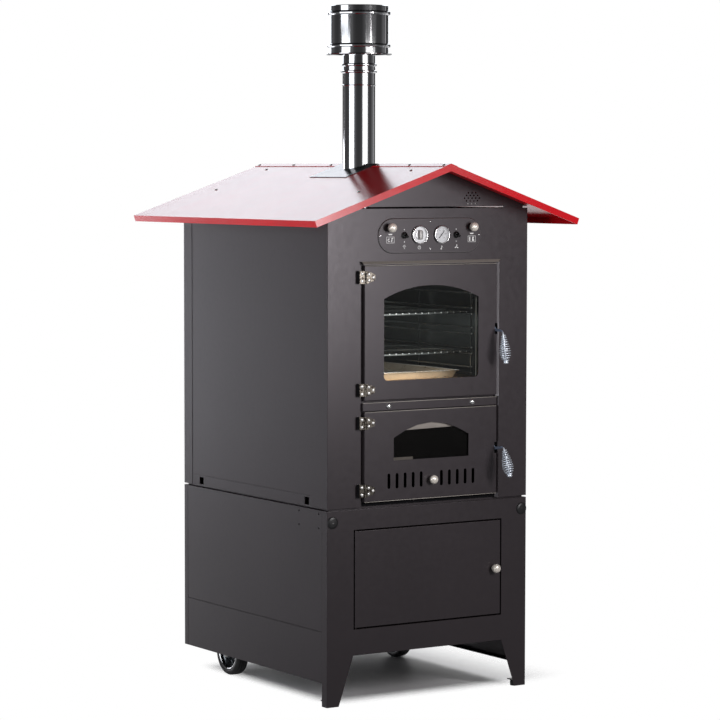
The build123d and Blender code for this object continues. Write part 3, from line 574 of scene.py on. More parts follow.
# ------------------------------------------------------------------ latch levers with coil grips
def latch(name, node_name, body, zp, p1, p2, p3):
    def q(v, z):
        return P(260, v, z)
    a, b, c, d = q(-9.2, zp - 3.0), q(*p1), q(*p2), q(*p3)
    hub = closed_lathe([(3.2, -2.4), (7.2, -2.4), (7.8, -1.8), (7.8, 1.8), (7.2, 2.4), (3.2, 2.4)], P(260, -4, zp), (1, 0, 0), 32)
    # flat bar that narrows into the round rod at the bend
    spine = [a.lerp(b, k / 8.0) for k in range(8)] + [b + (c - b) * (k / 5.0) for k in range(4)]
    for _ in range(2):
        spine = [spine[0]] + [(spine[i - 1] + spine[i] * 2 + spine[i + 1]) / 4 for i in range(1, len(spine) - 1)] + [spine[-1]]
    verts, m = [], 16
    for i, pt in enumerate(spine):
        t = (spine[min(i + 1, len(spine) - 1)] - spine[max(i - 1, 0)]).normalized()
        nrm = Vector((1, 0, 0)).cross(t).normalized()
        k = min(1.0, max(0.0, (i - 5) / 5.0))
        hx, hn = 2.3 + 0.5 * k, 4.6 - 1.8 * k
        for g in range(m):
            w = 2 * math.pi * g / m
            cw, sw = math.cos(w), math.sin(w)
            e = 0.45 + 0.55 * k
            verts.append(pt + Vector((1, 0, 0)) * (math.copysign(abs(cw) ** e, cw) * hx / 1000.0) + nrm * (math.copysign(abs(sw) ** e, sw) * hn / 1000.0))
    faces = [tuple(range(m)), tuple(reversed(range(len(verts) - m, len(verts))))]
    for i in range(len(spine) - 1):
        for g in range(m):
            h = (g + 1) % m
            faces.append((i * m + g, (i + 1) * m + g, (i + 1) * m + h, i * m + h))
    lever = add(name + "_lever", *join(hub, (verts, faces)), LEVER, body, True, "zinc")
    sharpen(lever, 50)
    core = add(name + "_rod", *tube([b.lerp(c, 0.35), b.lerp(c, 0.8), c + (d - c) * 0.05, c.lerp(d, 0.5), d], 2.9, 14), COIL, body, True, "zinc")
    # teardrop of spring wire wound round the bar
    ax = (d - c)
    L = ax.length * 1000.0
    z = ax.normalized()
    x = Vector((1, 0, 0))
    y = z.cross(x)
    prof = [(0.0, 7.0), (0.06, 8.0), (0.15, 9.6), (0.28, 12.4), (0.42, 15.4), (0.55, 17.5), (0.64, 18.0), (0.74, 17.2), (0.84, 14.2),
            (0.92, 10.6), (0.97, 8.0), (1.0, 6.6)]

    def rad(t):
        for (t0, r0), (t1, r1) in zip(prof, prof[1:]):
            if t <= t1:
                k = (t - t0) / (t1 - t0)
                k = k * k * (3 - 2 * k)
                return r0 + (r1 - r0) * k
        return prof[-1][1]
    turns, per = 12, 32
    h0, h1 = 4.0, L - 1.0
    coil = []
    for i in range(turns * per + 1):
        t = i / (turns * per)
        r = rad(t) / 1000.0
        a0 = 2 * math.pi * turns * t
        coil.append(c + z * ((h0 + (h1 - h0) * t) / 1000.0) + (x * math.cos(a0) + y * math.sin(a0)) * r)
    grip = add(name + "_coil", *tube(coil, 1.55, 8), COIL, body, True, "zinc")
    ball = lathe([(0, -6.0), (4.6, -5.6), (7.2, -4.2), (8.2, -1.8), (8.2, 1.2), (7.4, 3.2), (5.4, 4.4), (0, 4.9)], d - z * 0.0005, tuple(z), 28)
    end = add(name + "_end", *ball, COIL, body, True, "zinc")
    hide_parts(node_name)
    return lever, grip, end


latch("latch_u", "latch_upper", "latch_upper_body", 1227, (-48.5, 1221.5), (-57.5, 1212), (-73.6, 1116.5))
latch("latch_d", "latch_lower", "latch_lower_body", 826, (-55, 830.5), (-65.4, 825), (-97.5, 737.3))


# bright cut ends of the rack wires and of the ladder rails
for nm, z0, body in (("upper", 1274.1, "rack_upper_body"), ("lower", 1139.1, "rack_lower_body")):
    tips = [lathe([(2.3, 0), (2.2, 0.7), (1.4, 1.2), (0, 1.4)], P(-234 + 26 * k, 121.9, z0 + 5.25), (0, -1, 0), 12) for k in range(19)]
    add("rack_tips_" + nm, *join(*tips), BRIGHT, body, True, "zinc")
tips = []
for s in (-1, 1):
    for z in (1340, 1289, 1268.5, 1221.5, 1201, 1153.5, 1133.5, 1087.5, 1066.5):
        tips.append(lathe([(3.0, 0), (2.9, 0.8), (2.0, 1.5), (0, 1.8)], P(s * 256.8, 123.9, z + 2.75), (0, -1, 0), 14))
add("ladder_tips", *join(*tips), BRIGHT, ROOT, True, "zinc")
# bright ball on the air slide
ball = lathe([(3.7, 0.2), (3.7, 8.2), (9.8, 10.0), (13.6, 13.9), (14.8, 18.8), (13.6, 23.7), (9.8, 27.5), (3.6, 29.5), (0, 29.7)], P(0, -11, 734), (0, -1, 0), 40)
add("air_knob", *ball, PALE, "air_slide_body", True, "knob")

# ------------------------------------------------------------------ screws
def screws(name, spots, body, axis=(0, -1, 0), mat=CHROME, r=4.2, h=2.6, slot=True):
    sharpen(add(name, *join(*[dome(p, axis, r, h, slot) for p in spots]), mat, body, True, "chrome"), 40)


HINGE_Z = (1410.0, 1041.0, 932.5, 709.5)
screws("hinge_screws_casing", [P(-275.5, -15.9, z + d) for z in HINGE_Z for d in (-12.0, 12.0)], ROOT, mat=BRIGHT, r=5.2, h=3.2, slot=False)
for part, zs in (("upper", HINGE_Z[:2]), ("lower", HINGE_Z[2:])):
    screws("hinge_screws_%s" % part, [P(x, -15.9, z + d) for z in zs for x, d in ((-249.5, -9.8), (-249.5, 9.8), (-232.5, 0))],
           "%s_door_body" % part, mat=BRIGHT, r=5.0, h=3.2, slot=False)
screws("plate_screws", [P(0, -3.9, 1590), P(0, -3.9, 1500), P(-197, -3.9, 1544), P(197, -3.9, 1544)], ROOT, r=3.2, h=1.6)
# polished dome bolts of the middle bar, over the plain ones
for s, nm in ((-1, "l"), (1, "r")):
    sharpen(add("bar_bolt_" + nm, *lathe([(9.0, -0.1), (9.0, 1.3), (8.4, 3.0), (6.6, 4.9), (3.6, 6.1), (0, 6.5)], P(s * 167, -10.0, 984.5), (0, -1, 0), 40),
                BOLT, ROOT, True, "chrome"), 60)


def line(name, x0, x1, v, z, r, body, slot="body_paint"):
    """Painted highlight along a folded edge: a pale tube standing in for the light the bend catches."""
    add(name, *tube([P(x0, v, z), P((x0 + x1) / 2.0, v, z), P(x1, v, z)], r, 8), FOLD_HIGHLIGHT, body, True, slot)


# painted highlights along the top of the middle bar and the doors' top and bottom edges
line("fold_highlight_bar_top", -267, 267, -9.2, 997.3, 0.9, ROOT)
line("fold_highlight_upper_top", -263, 263, -13.2, 1447.3, 0.9, "upper_door_body")
line("fold_highlight_lower_top", -263, 263, -13.2, 967.3, 0.9, "lower_door_body")
line("fold_highlight_lower_low", -263, 263, -13.2, 671.7, 0.9, "lower_door_body")
# painted highlight: a pale taupe sheet on the sloping face of the drip ledge stands in for the light that face catches
strip = [(-268.5, -0.6, 1461.1), (287.0, -0.6, 1461.1), (271.6, -14.0, 1452.5), (-268.5, -14.0, 1452.5)]
sv = [P(x, v - 0.05, z - 0.45) for x, v, z in strip] + [P(x, v - 0.1, z + 0.1) for x, v, z in strip]
add("ledge_highlight", sv, [(0, 1, 2, 3), (7, 6, 5, 4), (0, 4, 5, 1), (1, 5, 6, 2), (2, 6, 7, 3), (3, 7, 4, 0)], TAUPE_AND_HIGHLIGHT, ROOT, False, "body_paint")
# painted light: a pale sheet on the inner slope of the lip beside the latches stands in for the light it catches
sl = [(267.3, -0.1), (275.1, -11.2)]
lv = [P(sl[0][0], sl[0][1], 1000), P(sl[1][0], sl[1][1], 1000), P(sl[1][0], sl[1][1], 1451), P(sl[0][0], sl[0][1], 1451)]
lv += [q + Vector((-0.0003, -0.0002, 0)) for q in lv]
add("lip_slope", lv, [(0, 1, 2, 3), (7, 6, 5, 4), (0, 4, 5, 1), (1, 5, 6, 2), (2, 6, 7, 3), (3, 7, 4, 0)], LIP_LIGHT, ROOT, False, "body_paint")
# painted light: a paler ring on the control plate's bevelled rim stands in for the light its chamfer catches
def plate_loop(inset, v):
    """Outline of the control plate drawn in by inset, at depth v."""
    r, hx, out = 58.0 - inset, 148.5, []
    for sgn, a0 in ((1, -90.0), (-1, 90.0)):
        for k in range(25):
            a = math.radians(a0 + 180.0 * k / 24.0)
            out.append(P(sgn * hx + r * math.cos(a), v, 1543.5 + r * math.sin(a)))
    return out


rl = [plate_loop(0.1, -0.5), plate_loop(3.6, -4.0), plate_loop(3.9, -3.9), plate_loop(0.4, -0.4)]
nl = len(rl[0])
rv = [q for loop in rl for q in loop]
rf = []
for a in range(4):
    b = (a + 1) % 4
    rf += [(a * nl + i, a * nl + (i + 1) % nl, b * nl + (i + 1) % nl, b * nl + i) for i in range(nl)]
add("plate_rim", rv, rf, PLATE_RIM_LIGHT, ROOT, True, "body_paint")
# painted shade: dark keepers behind the latch slots, and black sheets over the part of the lip beside them, stand in
# for the shade there
for z0, z1, nm in ((1208.3, 1245.7, "u"), (807.3, 844.7, "d")):
    q = [(266.8, 0.1), (271.5, -6.6), (271.2, -6.8), (266.5, -0.1)]
    sv = [P(x, v, z) for z in (z0, z1) for x, v in q]
    add("slot_shade_" + nm, sv, [(3, 2, 1, 0), (4, 5, 6, 7), (0, 1, 5, 4), (1, 2, 6, 5), (2, 3, 7, 6), (3, 0, 4, 7)], SHADE_BLACK, ROOT, False, "black_plastic")
# painted highlight: a pale strip on the right edge of the upper window stands in for the light its cut edge catches
add("pane_edge_highlight", *slab([(181.6, 1072), (184.4, 1072), (184.4, 1336), (181.6, 1336)], -7.5, -7.0), TAUPE_AND_HIGHLIGHT, "upper_door_body", False, "steel_inside")
# black keepers behind the latch slots: real parts whose black is partly painted shade in the slots
for z, nm in ((1227, "u"), (826, "d")):
    add("latch_keeper_shade_" + nm, *slab([(251, z - 21), (267.4, z - 21), (267.4, z + 21), (251, z + 21)], 4.6, 7.9), SHADE_BLACK, ROOT, False, "black_plastic")
# painted shade: a black baffle behind the air slots stands in for the dark inside seen through them
add("air_baffle", *slab([(-212, 700), (212, 700), (212, 773), (-212, 773)], 0.6, 2.0), BLACK_AND_SHADE, "lower_door_body", False, "iron")
# rolled bright rim of the drip tray
rim = [P(-193.4, 106.6, 1083.6), P(193.4, 106.6, 1083.6), P(193.4, 605.4, 1083.6), P(-193.4, 605.4, 1083.6)]
add("tray_rim", *tube([rim[0].lerp(rim[1], k / 6.0) for k in range(6)] + [rim[1].lerp(rim[2], k / 6.0) for k in range(6)]
                      + [rim[2].lerp(rim[3], k / 6.0) for k in range(6)] + [rim[3].lerp(rim[0], k / 6.0) for k in range(6)], 1.1, 8, True),
    BRIGHT, "drip_tray_body", True, "steel_inside")
# painted shade: a black strip in the gap under the lower door, where shade falls
add("sill_shade", *slab([(-266, 657.6), (266, 657.6), (266, 676.0), (-266, 676.0)], 5.0, 7.9), SHADE_BLACK, ROOT, False, "black_plastic")
black_blocks = []
for z in HINGE_Z:
    o = rounded([(-285.2, z - 21.6), (-276.0, z - 21.6), (-276.0, z + 21.6), (-285.2, z + 21.6)], 1.5)
    black_blocks.append(slab(o, -13.9, -0.1))
add("hinge_blocks", *join(*black_blocks), BLACK, ROOT, False, "black_plastic")

# ------------------------------------------------------------------ controls
GX, GZ = 43.9, 1546.0


def dial(name, cx, ticks, major, a0, a1, numbers):
    face = add(name + "_face", *lathe([(26.9, 0), (26.9, 0.5), (26.3, 0.7), (0, 0.7)], P(cx, -4.3, GZ), (0, -1, 0), 64), DIAL, ROOT, True, "chrome")
    parts = []
    for i in range(ticks + 1):
        a = math.radians(a0 + (a1 - a0) * i / ticks)
        big = i % major == 0
        r0, r1, w = (18.6, 22.8, 0.55) if big else (20.8, 22.8, 0.3)
        u = Vector((math.cos(a), math.sin(a)))
        t = Vector((-u.y, u.x)) * (w / 2)
        q = [(cx + (u * r0 + t).x, GZ + (u * r0 + t).y), (cx + (u * r1 + t).x, GZ + (u * r1 + t).y),
             (cx + (u * r1 - t).x, GZ + (u * r1 - t).y), (cx + (u * r0 - t).x, GZ + (u * r0 - t).y)]
        parts.append(slab(q, -5.12, -4.98))
    parts.append(ring(cx, GZ, 23.2, 23.6, -5.12, -4.98, 64))
    add(name + "_marks", *join(*parts), INK_GREY, ROOT, False, "black_plastic")
    n = len(numbers)
    for i, txt in enumerate(numbers):
        a = math.radians(a0 + (a1 - a0) * i / (n - 1))
        cu = bpy.data.curves.new(name + "_num_%d" % i, "FONT")
        cu.body = txt
        cu.size = 0.0048
        cu.align_x, cu.align_y = "CENTER", "CENTER"
        cu.extrude = 0.00006
        cu.materials.append(INK_GREY)
        o = bpy.data.objects.new(cu.name, cu)
        bpy.context.scene.collection.objects.link(o)
        o.location = P(cx + 15.2 * math.cos(a), -5.08, GZ + 15.2 * math.sin(a))
        o.rotation_euler = (math.pi / 2, 0, 0)
        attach(o, ROOT)
    return face


dial("timer", -GX, 60, 5, 90, -240, ["0", "10", "20", "30", "40", "50", "60"][:6] + ["60"])
dial("thermometer", GX, 50, 10, 225, -45, ["0", "100", "200", "300", "400", "500"])
for s, nm in ((-1, "timer"), (1, "thermometer")):
    rimp = [(27.0, -0.2), (30.0, -0.2), (30.4, 0.4), (30.5, 4.6), (30.2, 5.6), (29.2, 6.5), (28.0, 6.6), (27.3, 6.2), (26.9, 5.4), (26.9, 0.2)]
    sharpen(add(nm + "_bezel", *closed_lathe(rimp, P(s * GX, -5.2, GZ), (0, -1, 0), 72), CHROME, ROOT, True, "chrome"), 50)
lens = closed_lathe([(0.02, 0), (26.8, 0), (26.8, 0.8), (0.02, 0.8)], P(GX, -9.0, GZ), (0, -1, 0), 56)
add("thermometer_lens", *lens, LENS, ROOT, False, "glass")

# turning grip of the timer: fluted skirt and raised bar
x, y, z = frame_from((0, -1, 0))
prof = [(16.8, 0.0), (16.8, 1.6), (15.8, 2.4), (14.0, 2.6), (0.0, 2.6)]
segs = 72
verts, faces = [], []
for j, (r, h) in enumerate(prof):
    for i in range(segs):
        a = 2 * math.pi * i / segs
        rr = r - (0.5 if (i // 2) % 2 and j < 3 else 0.0)
        verts.append(P(-GX, -5.0, GZ) + (x * math.cos(a) + y * math.sin(a)) * (rr / 1000.0) + z * (h / 1000.0))
for j in range(len(prof) - 1):
    for i in range(segs):
        k = (i + 1) % segs
        faces.append((j * segs + i, j * segs + k, (j + 1) * segs + k, (j + 1) * segs + i))
sk = add("timer_skirt", verts, faces, SKIRT, "timer_body", False, "chrome")
bar = []
for v, hx, hz in ((-7.0, 7.6, 15.6), (-8.6, 7.0, 15.3), (-15.2, 6.4, 14.8), (-16.5, 5.6, 14.0), (-17.0, 4.2, 12.6)):
    bar.append([P(-GX + px, v, GZ + pz) for px, pz in rounded([(-hx, -hz), (hx, -hz), (hx, hz), (-hx, hz)], min(hx * 0.9, 3.0), 4)])
verts = [p for loop in bar for p in loop]
n = len(bar[0])
faces = [tuple(range(n)), tuple(reversed(range(len(verts) - n, len(verts))))]
for j in range(len(bar) - 1):
    for i in range(n):
        k = (i + 1) % n
        faces.append((j * n + i, (j + 1) * n + i, (j + 1) * n + k, j * n + k))
tb = sharpen(add("timer_bar", verts, faces, BAR, "timer_body", True, "chrome"), 40)
tm = add("timer_mark", *slab([(-GX - 0.6, GZ + 3), (-GX + 0.6, GZ + 3), (-GX + 0.6, GZ + 11.5), (-GX - 0.6, GZ + 11.5)], -17.12, -16.9), INK_DARK, "timer_body", False, "black_plastic")
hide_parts("timer_knob")

# thermometer needle with a counterweight and hub
ang = math.radians(48)
u, t = Vector((math.cos(ang), math.sin(ang))), Vector((-math.sin(ang), math.cos(ang)))


def along(a, b):
    q = u * a + t * b
    return (GX + q.x, GZ + q.y)


needle = slab([along(-14, 1.5), along(-4, 1.3), along(17.8, 0.8), along(17.8, -0.8), along(-4, -1.3), along(-14, -1.5)], -6.2, -5.6)
hub = lathe([(2.2, 0), (2.2, 1.2), (1.8, 1.6), (0, 1.7)], P(GX, -5.0, GZ), (0, -1, 0), 24)
nd = add("needle_arm", *join(needle, hub), INK_DARK, "needle_body", False, "black_plastic")
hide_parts("thermometer_needle")

# toggles: black ribbed boots and tapered levers
for s, nm in ((-1, "left"), (1, "right")):
    cx = s * 103.6
    boot = lathe([(11.6, 0), (11.6, 1.6), (10.9, 2.6), (10.2, 2.8), (9.9, 4.6), (8.8, 6.0), (8.4, 7.6), (7.4, 8.6), (7.0, 7.4), (6.6, 3.0)], P(cx, -3.9, 1545.4), (0, -1, 0), 48)
    bt = sharpen(add("toggle_boot_" + nm, boot[0], boot[1][:-1], BLACK, ROOT, True, "black_plastic"), 40)
    d = Vector((0, -math.cos(math.radians(12)), -math.sin(math.radians(12))))
    lev = lathe([(0, -2.9), (3.2, -2.2), (3.2, 1.5), (2.6, 3.5), (3.0, 8), (3.8, 14), (4.6, 18.5), (4.5, 21), (3.4, 23), (0, 23.6)], P(cx, -4, 1545.4), tuple(d), 28)
    lv = add("toggle_lever_" + nm, *lev, BLACK, "switch_%s_body" % nm, True, "black_plastic")
    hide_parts("switch_lever_" + nm)

# damper pulls: dark collar, steel ball
for s, nm in ((-1, "left"), (1, "right")):
    cx = s * 163.0
    col = lathe([(9.6, 0), (9.6, 1.2), (8.6, 2.2), (6.6, 2.6), (5.0, 2.8), (4.1, 2.8)], P(cx, -3.9, 1571), (0, -1, 0), 40)
    sharpen(add("pull_bush_" + nm, col[0], col[1][:-2], BLACK, ROOT, True, "black_plastic"), 40)

# ---- printed marks: plain pictures of what each control does
V0, V1 = -4.16, -3.95
marks = []
for s in (-1, 1):
    cx = s * 103.6
    for dz in (19.5, -21.0):
        marks.append(ring(cx, 1545.4 + dz - 1.0, 0.0, 1.7, V0, V1, 20))
# lamp
lx, lz = -103.6, 1506.5
marks.append(ring(lx, lz + 1.8, 2.2, 3.6, V0, V1, 24, -50, 230))
marks.append(slab([(lx - 1.7, lz - 3.6), (lx + 1.7, lz - 3.6), (lx + 1.7, lz - 1.6), (lx - 1.7, lz - 1.6)], V0, V1))
marks.append(slab([(lx - 1.2, lz - 6.0), (lx + 1.2, lz - 6.0), (lx + 1.2, lz - 4.6), (lx - 1.2, lz - 4.6)], V0, V1))
for a in (0, 45, 90, 135, 180):
    r = math.radians(a)
    uu, tt = Vector((math.cos(r), math.sin(r))), Vector((-math.sin(r), math.cos(r))) * 0.35
    c0 = Vector((lx, lz + 1.8))
    q = [c0 + uu * 4.8 + tt, c0 + uu * 6.6 + tt, c0 + uu * 6.6 - tt, c0 + uu * 4.8 - tt]
    marks.append(slab([(p.x, p.y) for p in q], V0, V1))
# clock
kx, kz = -GX, 1504.4
marks.append(ring(kx, kz, 4.6, 5.9, V0, V1, 36))
marks.append(slab([(kx - 0.45, kz), (kx + 0.45, kz), (kx + 0.45, kz + 3.6), (kx - 0.45, kz + 3.6)], V0, V1))
marks.append(slab([(kx, kz - 0.45), (kx + 2.6, kz - 0.45), (kx + 2.6, kz + 0.45), (kx, kz + 0.45)], V0, V1))
# thermometer: bulb, stem and two scale strokes
tx, tz = GX + 1.0, 1503.5
marks.append(ring(tx - 1.5, tz - 4.6, 0.0, 2.5, V0, V1, 24))
marks.append(slab([(tx - 2.6, tz - 3.6), (tx - 0.4, tz - 3.6), (tx + 2.0, tz + 6.2), (tx + 0.2, tz + 6.6)], V0, V1))
for k in (0, 1, 2):
    marks.append(slab([(tx + 1.6 + k * 0.55, tz - 1.2 + 2.4 * k), (tx + 4.2 + k * 0.55, tz - 1.2 + 2.4 * k), (tx + 4.2 + k * 0.55, tz - 0.5 + 2.4 * k), (tx + 1.6 + k * 0.55, tz - 0.5 + 2.4 * k)], V0, V1))
# fan: hub and three blades
fx, fz = 105.4, 1505.0
marks.append(ring(fx, fz, 0.0, 1.5, V0, V1, 20))
for k in range(3):
    r = math.radians(90 + 120 * k)
    uu, tt = Vector((math.cos(r), math.sin(r))), Vector((-math.sin(r), math.cos(r)))
    c0 = Vector((fx, fz))
    o = [c0 + uu * 1.8 - tt * 0.5, c0 + uu * 4.0 - tt * 2.3, c0 + uu * 6.6 - tt * 2.4, c0 + uu * 7.8 - tt * 0.6, c0 + uu * 7.0 + tt * 1.2, c0 + uu * 3.8 + tt * 0.9, c0 + uu * 1.8 + tt * 0.6]
    marks.append(slab([(p.x, p.y) for p in o], V0, V1))
# damper pictures: small trapezium over an oven outline with an open or shut flap
for cx, tilt in ((-158.5, 1), (166.5, 0)):
    marks.append(slab([(cx - 8.5, 1550.4), (cx + 8.5, 1550.4), (cx + 5.0, 1546.6), (cx - 5.0, 1546.6)], V0, V1))
    x0, x1, z0, z1 = cx - 15.5, cx + 15.5, 1520.0, 1541.0
    wd = 1.1
    for q in ([(x0, z0), (x1, z0), (x1, z0 + wd), (x0, z0 + wd)], [(x0, z1 - wd), (x1, z1 - wd), (x1, z1), (x0, z1)],
              [(x0, z0 + wd), (x0 + wd, z0 + wd), (x0 + wd, z1 - wd), (x0, z1 - wd)], [(x1 - wd, z0 + wd), (x1, z0 + wd), (x1, z1 - wd), (x1 - wd, z1 - wd)]):
        marks.append(slab(q, V0, V1))
    if tilt:
        marks.append(ring(cx - 5.0, 1529.6, 3.2, 5.4, V0, V1, 30, 60, 330))
        marks.append(slab([(cx + 3.0, 1523.5), (cx + 6.4, 1523.5), (cx + 8.6, 1534.0), (cx + 12.4, 1537.4), (cx + 4.4, 1537.4), (cx + 4.8, 1532.0)], V0, V1))
    else:
        marks.append(slab([(cx - 10.0, 1523.5), (cx - 6.0, 1523.5), (cx - 6.0, 1537.4), (cx - 10.0, 1537.4)], V0, V1))
        marks.append(slab([(cx + 1.0, 1523.5), (cx + 10.0, 1523.5), (cx + 10.0, 1527.0), (cx + 6.4, 1530.5), (cx + 9.4, 1537.4), (cx + 2.6, 1537.4)], V0, V1))
add("control_marks", *join(*marks), INK, ROOT, False, "zinc")

# ------------------------------------------------------------------ doors: black screen behind the fire glass as painted shade, gasket ropes
# painted shade: a black screen inside the lower window stands in for the dark fire chamber; a bright deflector shows
# over it
scr = [(-168, 813), (-68, 813), (-68, 800), (168, 800), (168, 907), (-168, 900.5)]
add("fire_screen", *slab(scr, -6.9, -5.9), BLACK_AND_SHADE, "lower_door_body", False, "iron")
arc = [(-172, 880), (172, 880), (172, 938), (-172, 938)]
add("fire_shelf", *slab([(-172, 796), (-60, 796), (-60, 820), (-172, 820)], -4.9, -3.9), TAUPE_AND_HIGHLIGHT, "lower_door_body", False, "steel_inside")
add("fire_deflector", *slab(arc, -4.9, -3.9), LIGHT_STEEL, "lower_door_body", False, "steel_inside")


def rope(name, x, z0, z1, v, r, body, corner=14):
    o = rounded([(-x, z0), (x, z0), (x, z1), (-x, z1)], corner, 6)
    pts = []
    m = len(o)
    for i in range(m):
        a, b = Vector(o[i]), Vector(o[(i + 1) % m])
        k = max(1, int((b - a).length / 12))
        for j in range(k):
            q = a.lerp(b, j / k)
            pts.append(P(q.x, v, q.y))
    add(name, *tube(pts, r, 10, True), ROPE, body, True, "black_plastic")


rope("gasket_upper", 246, 1022, 1437, 3.9, 1.9, "upper_door_body")
rope("gasket_lower", 246, 686, 955, 3.9, 1.9, "lower_door_body")

# ------------------------------------------------------------------ camera
cam_data = bpy.data.cameras.new("camera")
cam_data.sensor_width = 36.0
cam_data.lens = 141.065
cam_data.clip_start, cam_data.clip_end = 0.1, 100.0
cam = bpy.data.objects.new("camera", cam_data)
bpy.context.scene.collection.objects.link(cam)
right = Vector((0.84225334, -0.53908017, 0.00137087))
up = Vector((0.03531197, 0.05770821, 0.99770879))
back = Vector((-0.53792413, -0.84027515, 0.06764092))
cam.matrix_world = Matrix((
    (right.x, up.x, back.x, -5.23473), (right.y, up.y, back.y, -8.23522), (right.z, up.z, back.z, 1.76366), (0, 0, 0, 1)))
bpy.context.scene.camera = cam

# ------------------------------------------------------------------ floor
fm = bpy.data.materials.new("studio_floor")
fm.use_nodes = True
nt = fm.node_tree
nt.nodes.clear()
out = node(nt, "ShaderNodeOutputMaterial")
tc = node(nt, "ShaderNodeTexCoord")
# sheet that thins out with distance from the oven's outline
lo_side = node(nt, "ShaderNodeVectorMath", operation="MULTIPLY_ADD")
lo_side.inputs[1].default_value = (-10.0, -6.6, 0.0)
lo_side.inputs[2].default_value = (-2.8, -2.1, 0.0)
hi_side = node(nt, "ShaderNodeVectorMath", operation="MULTIPLY_ADD")
hi_side.inputs[1].default_value = (2.8, 6.2, 0.0)
hi_side.inputs[2].default_value = (-0.95, -2.1, 0.0)
nt.links.new(tc.outputs["Object"], lo_side.inputs[0])
nt.links.new(tc.outputs["Object"], hi_side.inputs[0])
mxs = node(nt, "ShaderNodeVectorMath", operation="MAXIMUM")
nt.links.new(lo_side.outputs["Vector"], mxs.inputs[0])
nt.links.new(hi_side.outputs["Vector"], mxs.inputs[1])
ps = node(nt, "ShaderNodeVectorMath", operation="MAXIMUM")
ps.inputs[1].default_value = (0.0, 0.0, 0.0)
nt.links.new(mxs.outputs["Vector"], ps.inputs[0])
ln = node(nt, "ShaderNodeVectorMath", operation="LENGTH")
nt.links.new(ps.outputs["Vector"], ln.inputs[0])
fd = node(nt, "ShaderNodeMapRange", interpolation_type="SMOOTHSTEP")
fd.inputs["From Min"].default_value = 0.0
fd.inputs["From Max"].default_value = 1.0
nt.links.new(ln.outputs["Value"], fd.inputs["Value"])
fade = fd.outputs["Result"]
df = node(nt, "ShaderNodeBsdfPrincipled")
df.inputs["Roughness"].default_value = 0.45
v = coords(nt)
scuff = noise(nt, v, 9.0, 7.0, 0.7)
nt.links.new(ramp(nt, scuff, [(0.35, (0.80, 0.80, 0.805)), (0.6, (0.86, 0.86, 0.86))]), df.inputs["Base Color"])
tr = node(nt, "ShaderNodeBsdfTransparent")
mx = node(nt, "ShaderNodeMixShader")
nt.links.new(fade, mx.inputs["Fac"])
nt.links.new(df.outputs["BSDF"], mx.inputs[1])
nt.links.new(tr.outputs["BSDF"], mx.inputs[2])
nt.links.new(mx.outputs["Shader"], out.inputs["Surface"])
segs = 64
fv = [Vector((0, 0, -0.0003))]
for r in (1.0, 2.0, 2.8):
    fv += [Vector((r * math.cos(2 * math.pi * i / segs), r * math.sin(2 * math.pi * i / segs), -0.0003)) for i in range(segs)]
ff = [(0, 1 + i, 1 + (i + 1) % segs) for i in range(segs)]
for j in range(2):
    for i in range(segs):
        k = (i + 1) % segs
        a = 1 + j * segs
        ff.append((a + i, a + segs + i, a + segs + k, a + k))
floor = add("studio_floor", fv, ff, fm, None)

# ------------------------------------------------------------------ world and lights
w = bpy.data.worlds.new("studio")
bpy.context.scene.world = w
w.use_nodes = True
nt = w.node_tree
nt.nodes.clear()
out = node(nt, "ShaderNodeOutputWorld")
lp = node(nt, "ShaderNodeLightPath")
seen = node(nt, "ShaderNodeBackground")
seen.inputs["Color"].default_value = (1, 1, 1, 1)
seen.inputs["Strength"].default_value = 1.0
lit = node(nt, "ShaderNodeBackground")
lit.inputs["Strength"].default_value = 0.6
tc = node(nt, "ShaderNodeTexCoord")
sx = node(nt, "ShaderNodeSeparateXYZ")
nt.links.new(tc.outputs["Generated"], sx.inputs["Vector"])
at = node(nt, "ShaderNodeMath", operation="ARCTAN2")
nt.links.new(sx.outputs["Y"], at.inputs[0])
nt.links.new(sx.outputs["X"], at.inputs[1])
turn = node(nt, "ShaderNodeMath", operation="ADD")
turn.inputs[1].default_value = math.radians(122.6 + 360)
nt.links.new(at.outputs["Value"], turn.inputs[0])
wrap = node(nt, "ShaderNodeMath", operation="MODULO")
wrap.inputs[1].default_value = 2 * math.pi
nt.links.new(turn.outputs["Value"], wrap.inputs[0])
unit = node(nt, "ShaderNodeMath", operation="DIVIDE")
unit.inputs[1].default_value = 2 * math.pi
nt.links.new(wrap.outputs["Value"], unit.inputs[0])
# radiance round the room: degrees from the camera's side towards its right, and level
room = [(0, 0.09), (12, 0.10), (22, 0.20), (27, 0.32), (68, 0.30), (74, 0.13), (96, 0.12), (108, 0.30), (114, 0.40), (121, 0.12),
        (124, 0.9), (131, 0.9), (135, 0.06), (178, 0.20), (240, 0.25), (252, 0.14), (270, 0.10), (282, 0.16), (287, 0.30), (334, 0.30), (338, 0.16), (348, 0.10), (360, 0.09)]
nt.links.new(ramp(nt, unit.outputs["Value"], [(d / 360.0, (v * 0.97, v * 0.97, v)) for d, v in room]), lit.inputs["Color"])
# the room darkens above eye level
lift = node(nt, "ShaderNodeValToRGB")
els = lift.color_ramp.elements
els[0].position, els[0].color = 0.14, (0.95, 0.95, 0.95, 1)
els[1].position, els[1].color = 0.62, (0.12, 0.12, 0.12, 1)
for pos, val in ((0.25, 0.62), (0.32, 0.60), (0.39, 0.20)):
    e = els.new(pos)
    e.color = (val, val, val, 1)
rise = node(nt, "ShaderNodeMath", operation="ADD")
rise.inputs[1].default_value = 0.3
nt.links.new(sx.outputs["Z"], rise.inputs[0])
nt.links.new(rise.outputs["Value"], lift.inputs["Fac"])
nt.links.new(lift.outputs["Color"], lit.inputs["Strength"])
mx = node(nt, "ShaderNodeMixShader")
nt.links.new(lp.outputs["Is Camera Ray"], mx.inputs["Fac"])
nt.links.new(lit.outputs["Background"], mx.inputs[1])
nt.links.new(seen.outputs["Background"], mx.inputs[2])
nt.links.new(mx.outputs["Shader"], out.inputs["Surface"])


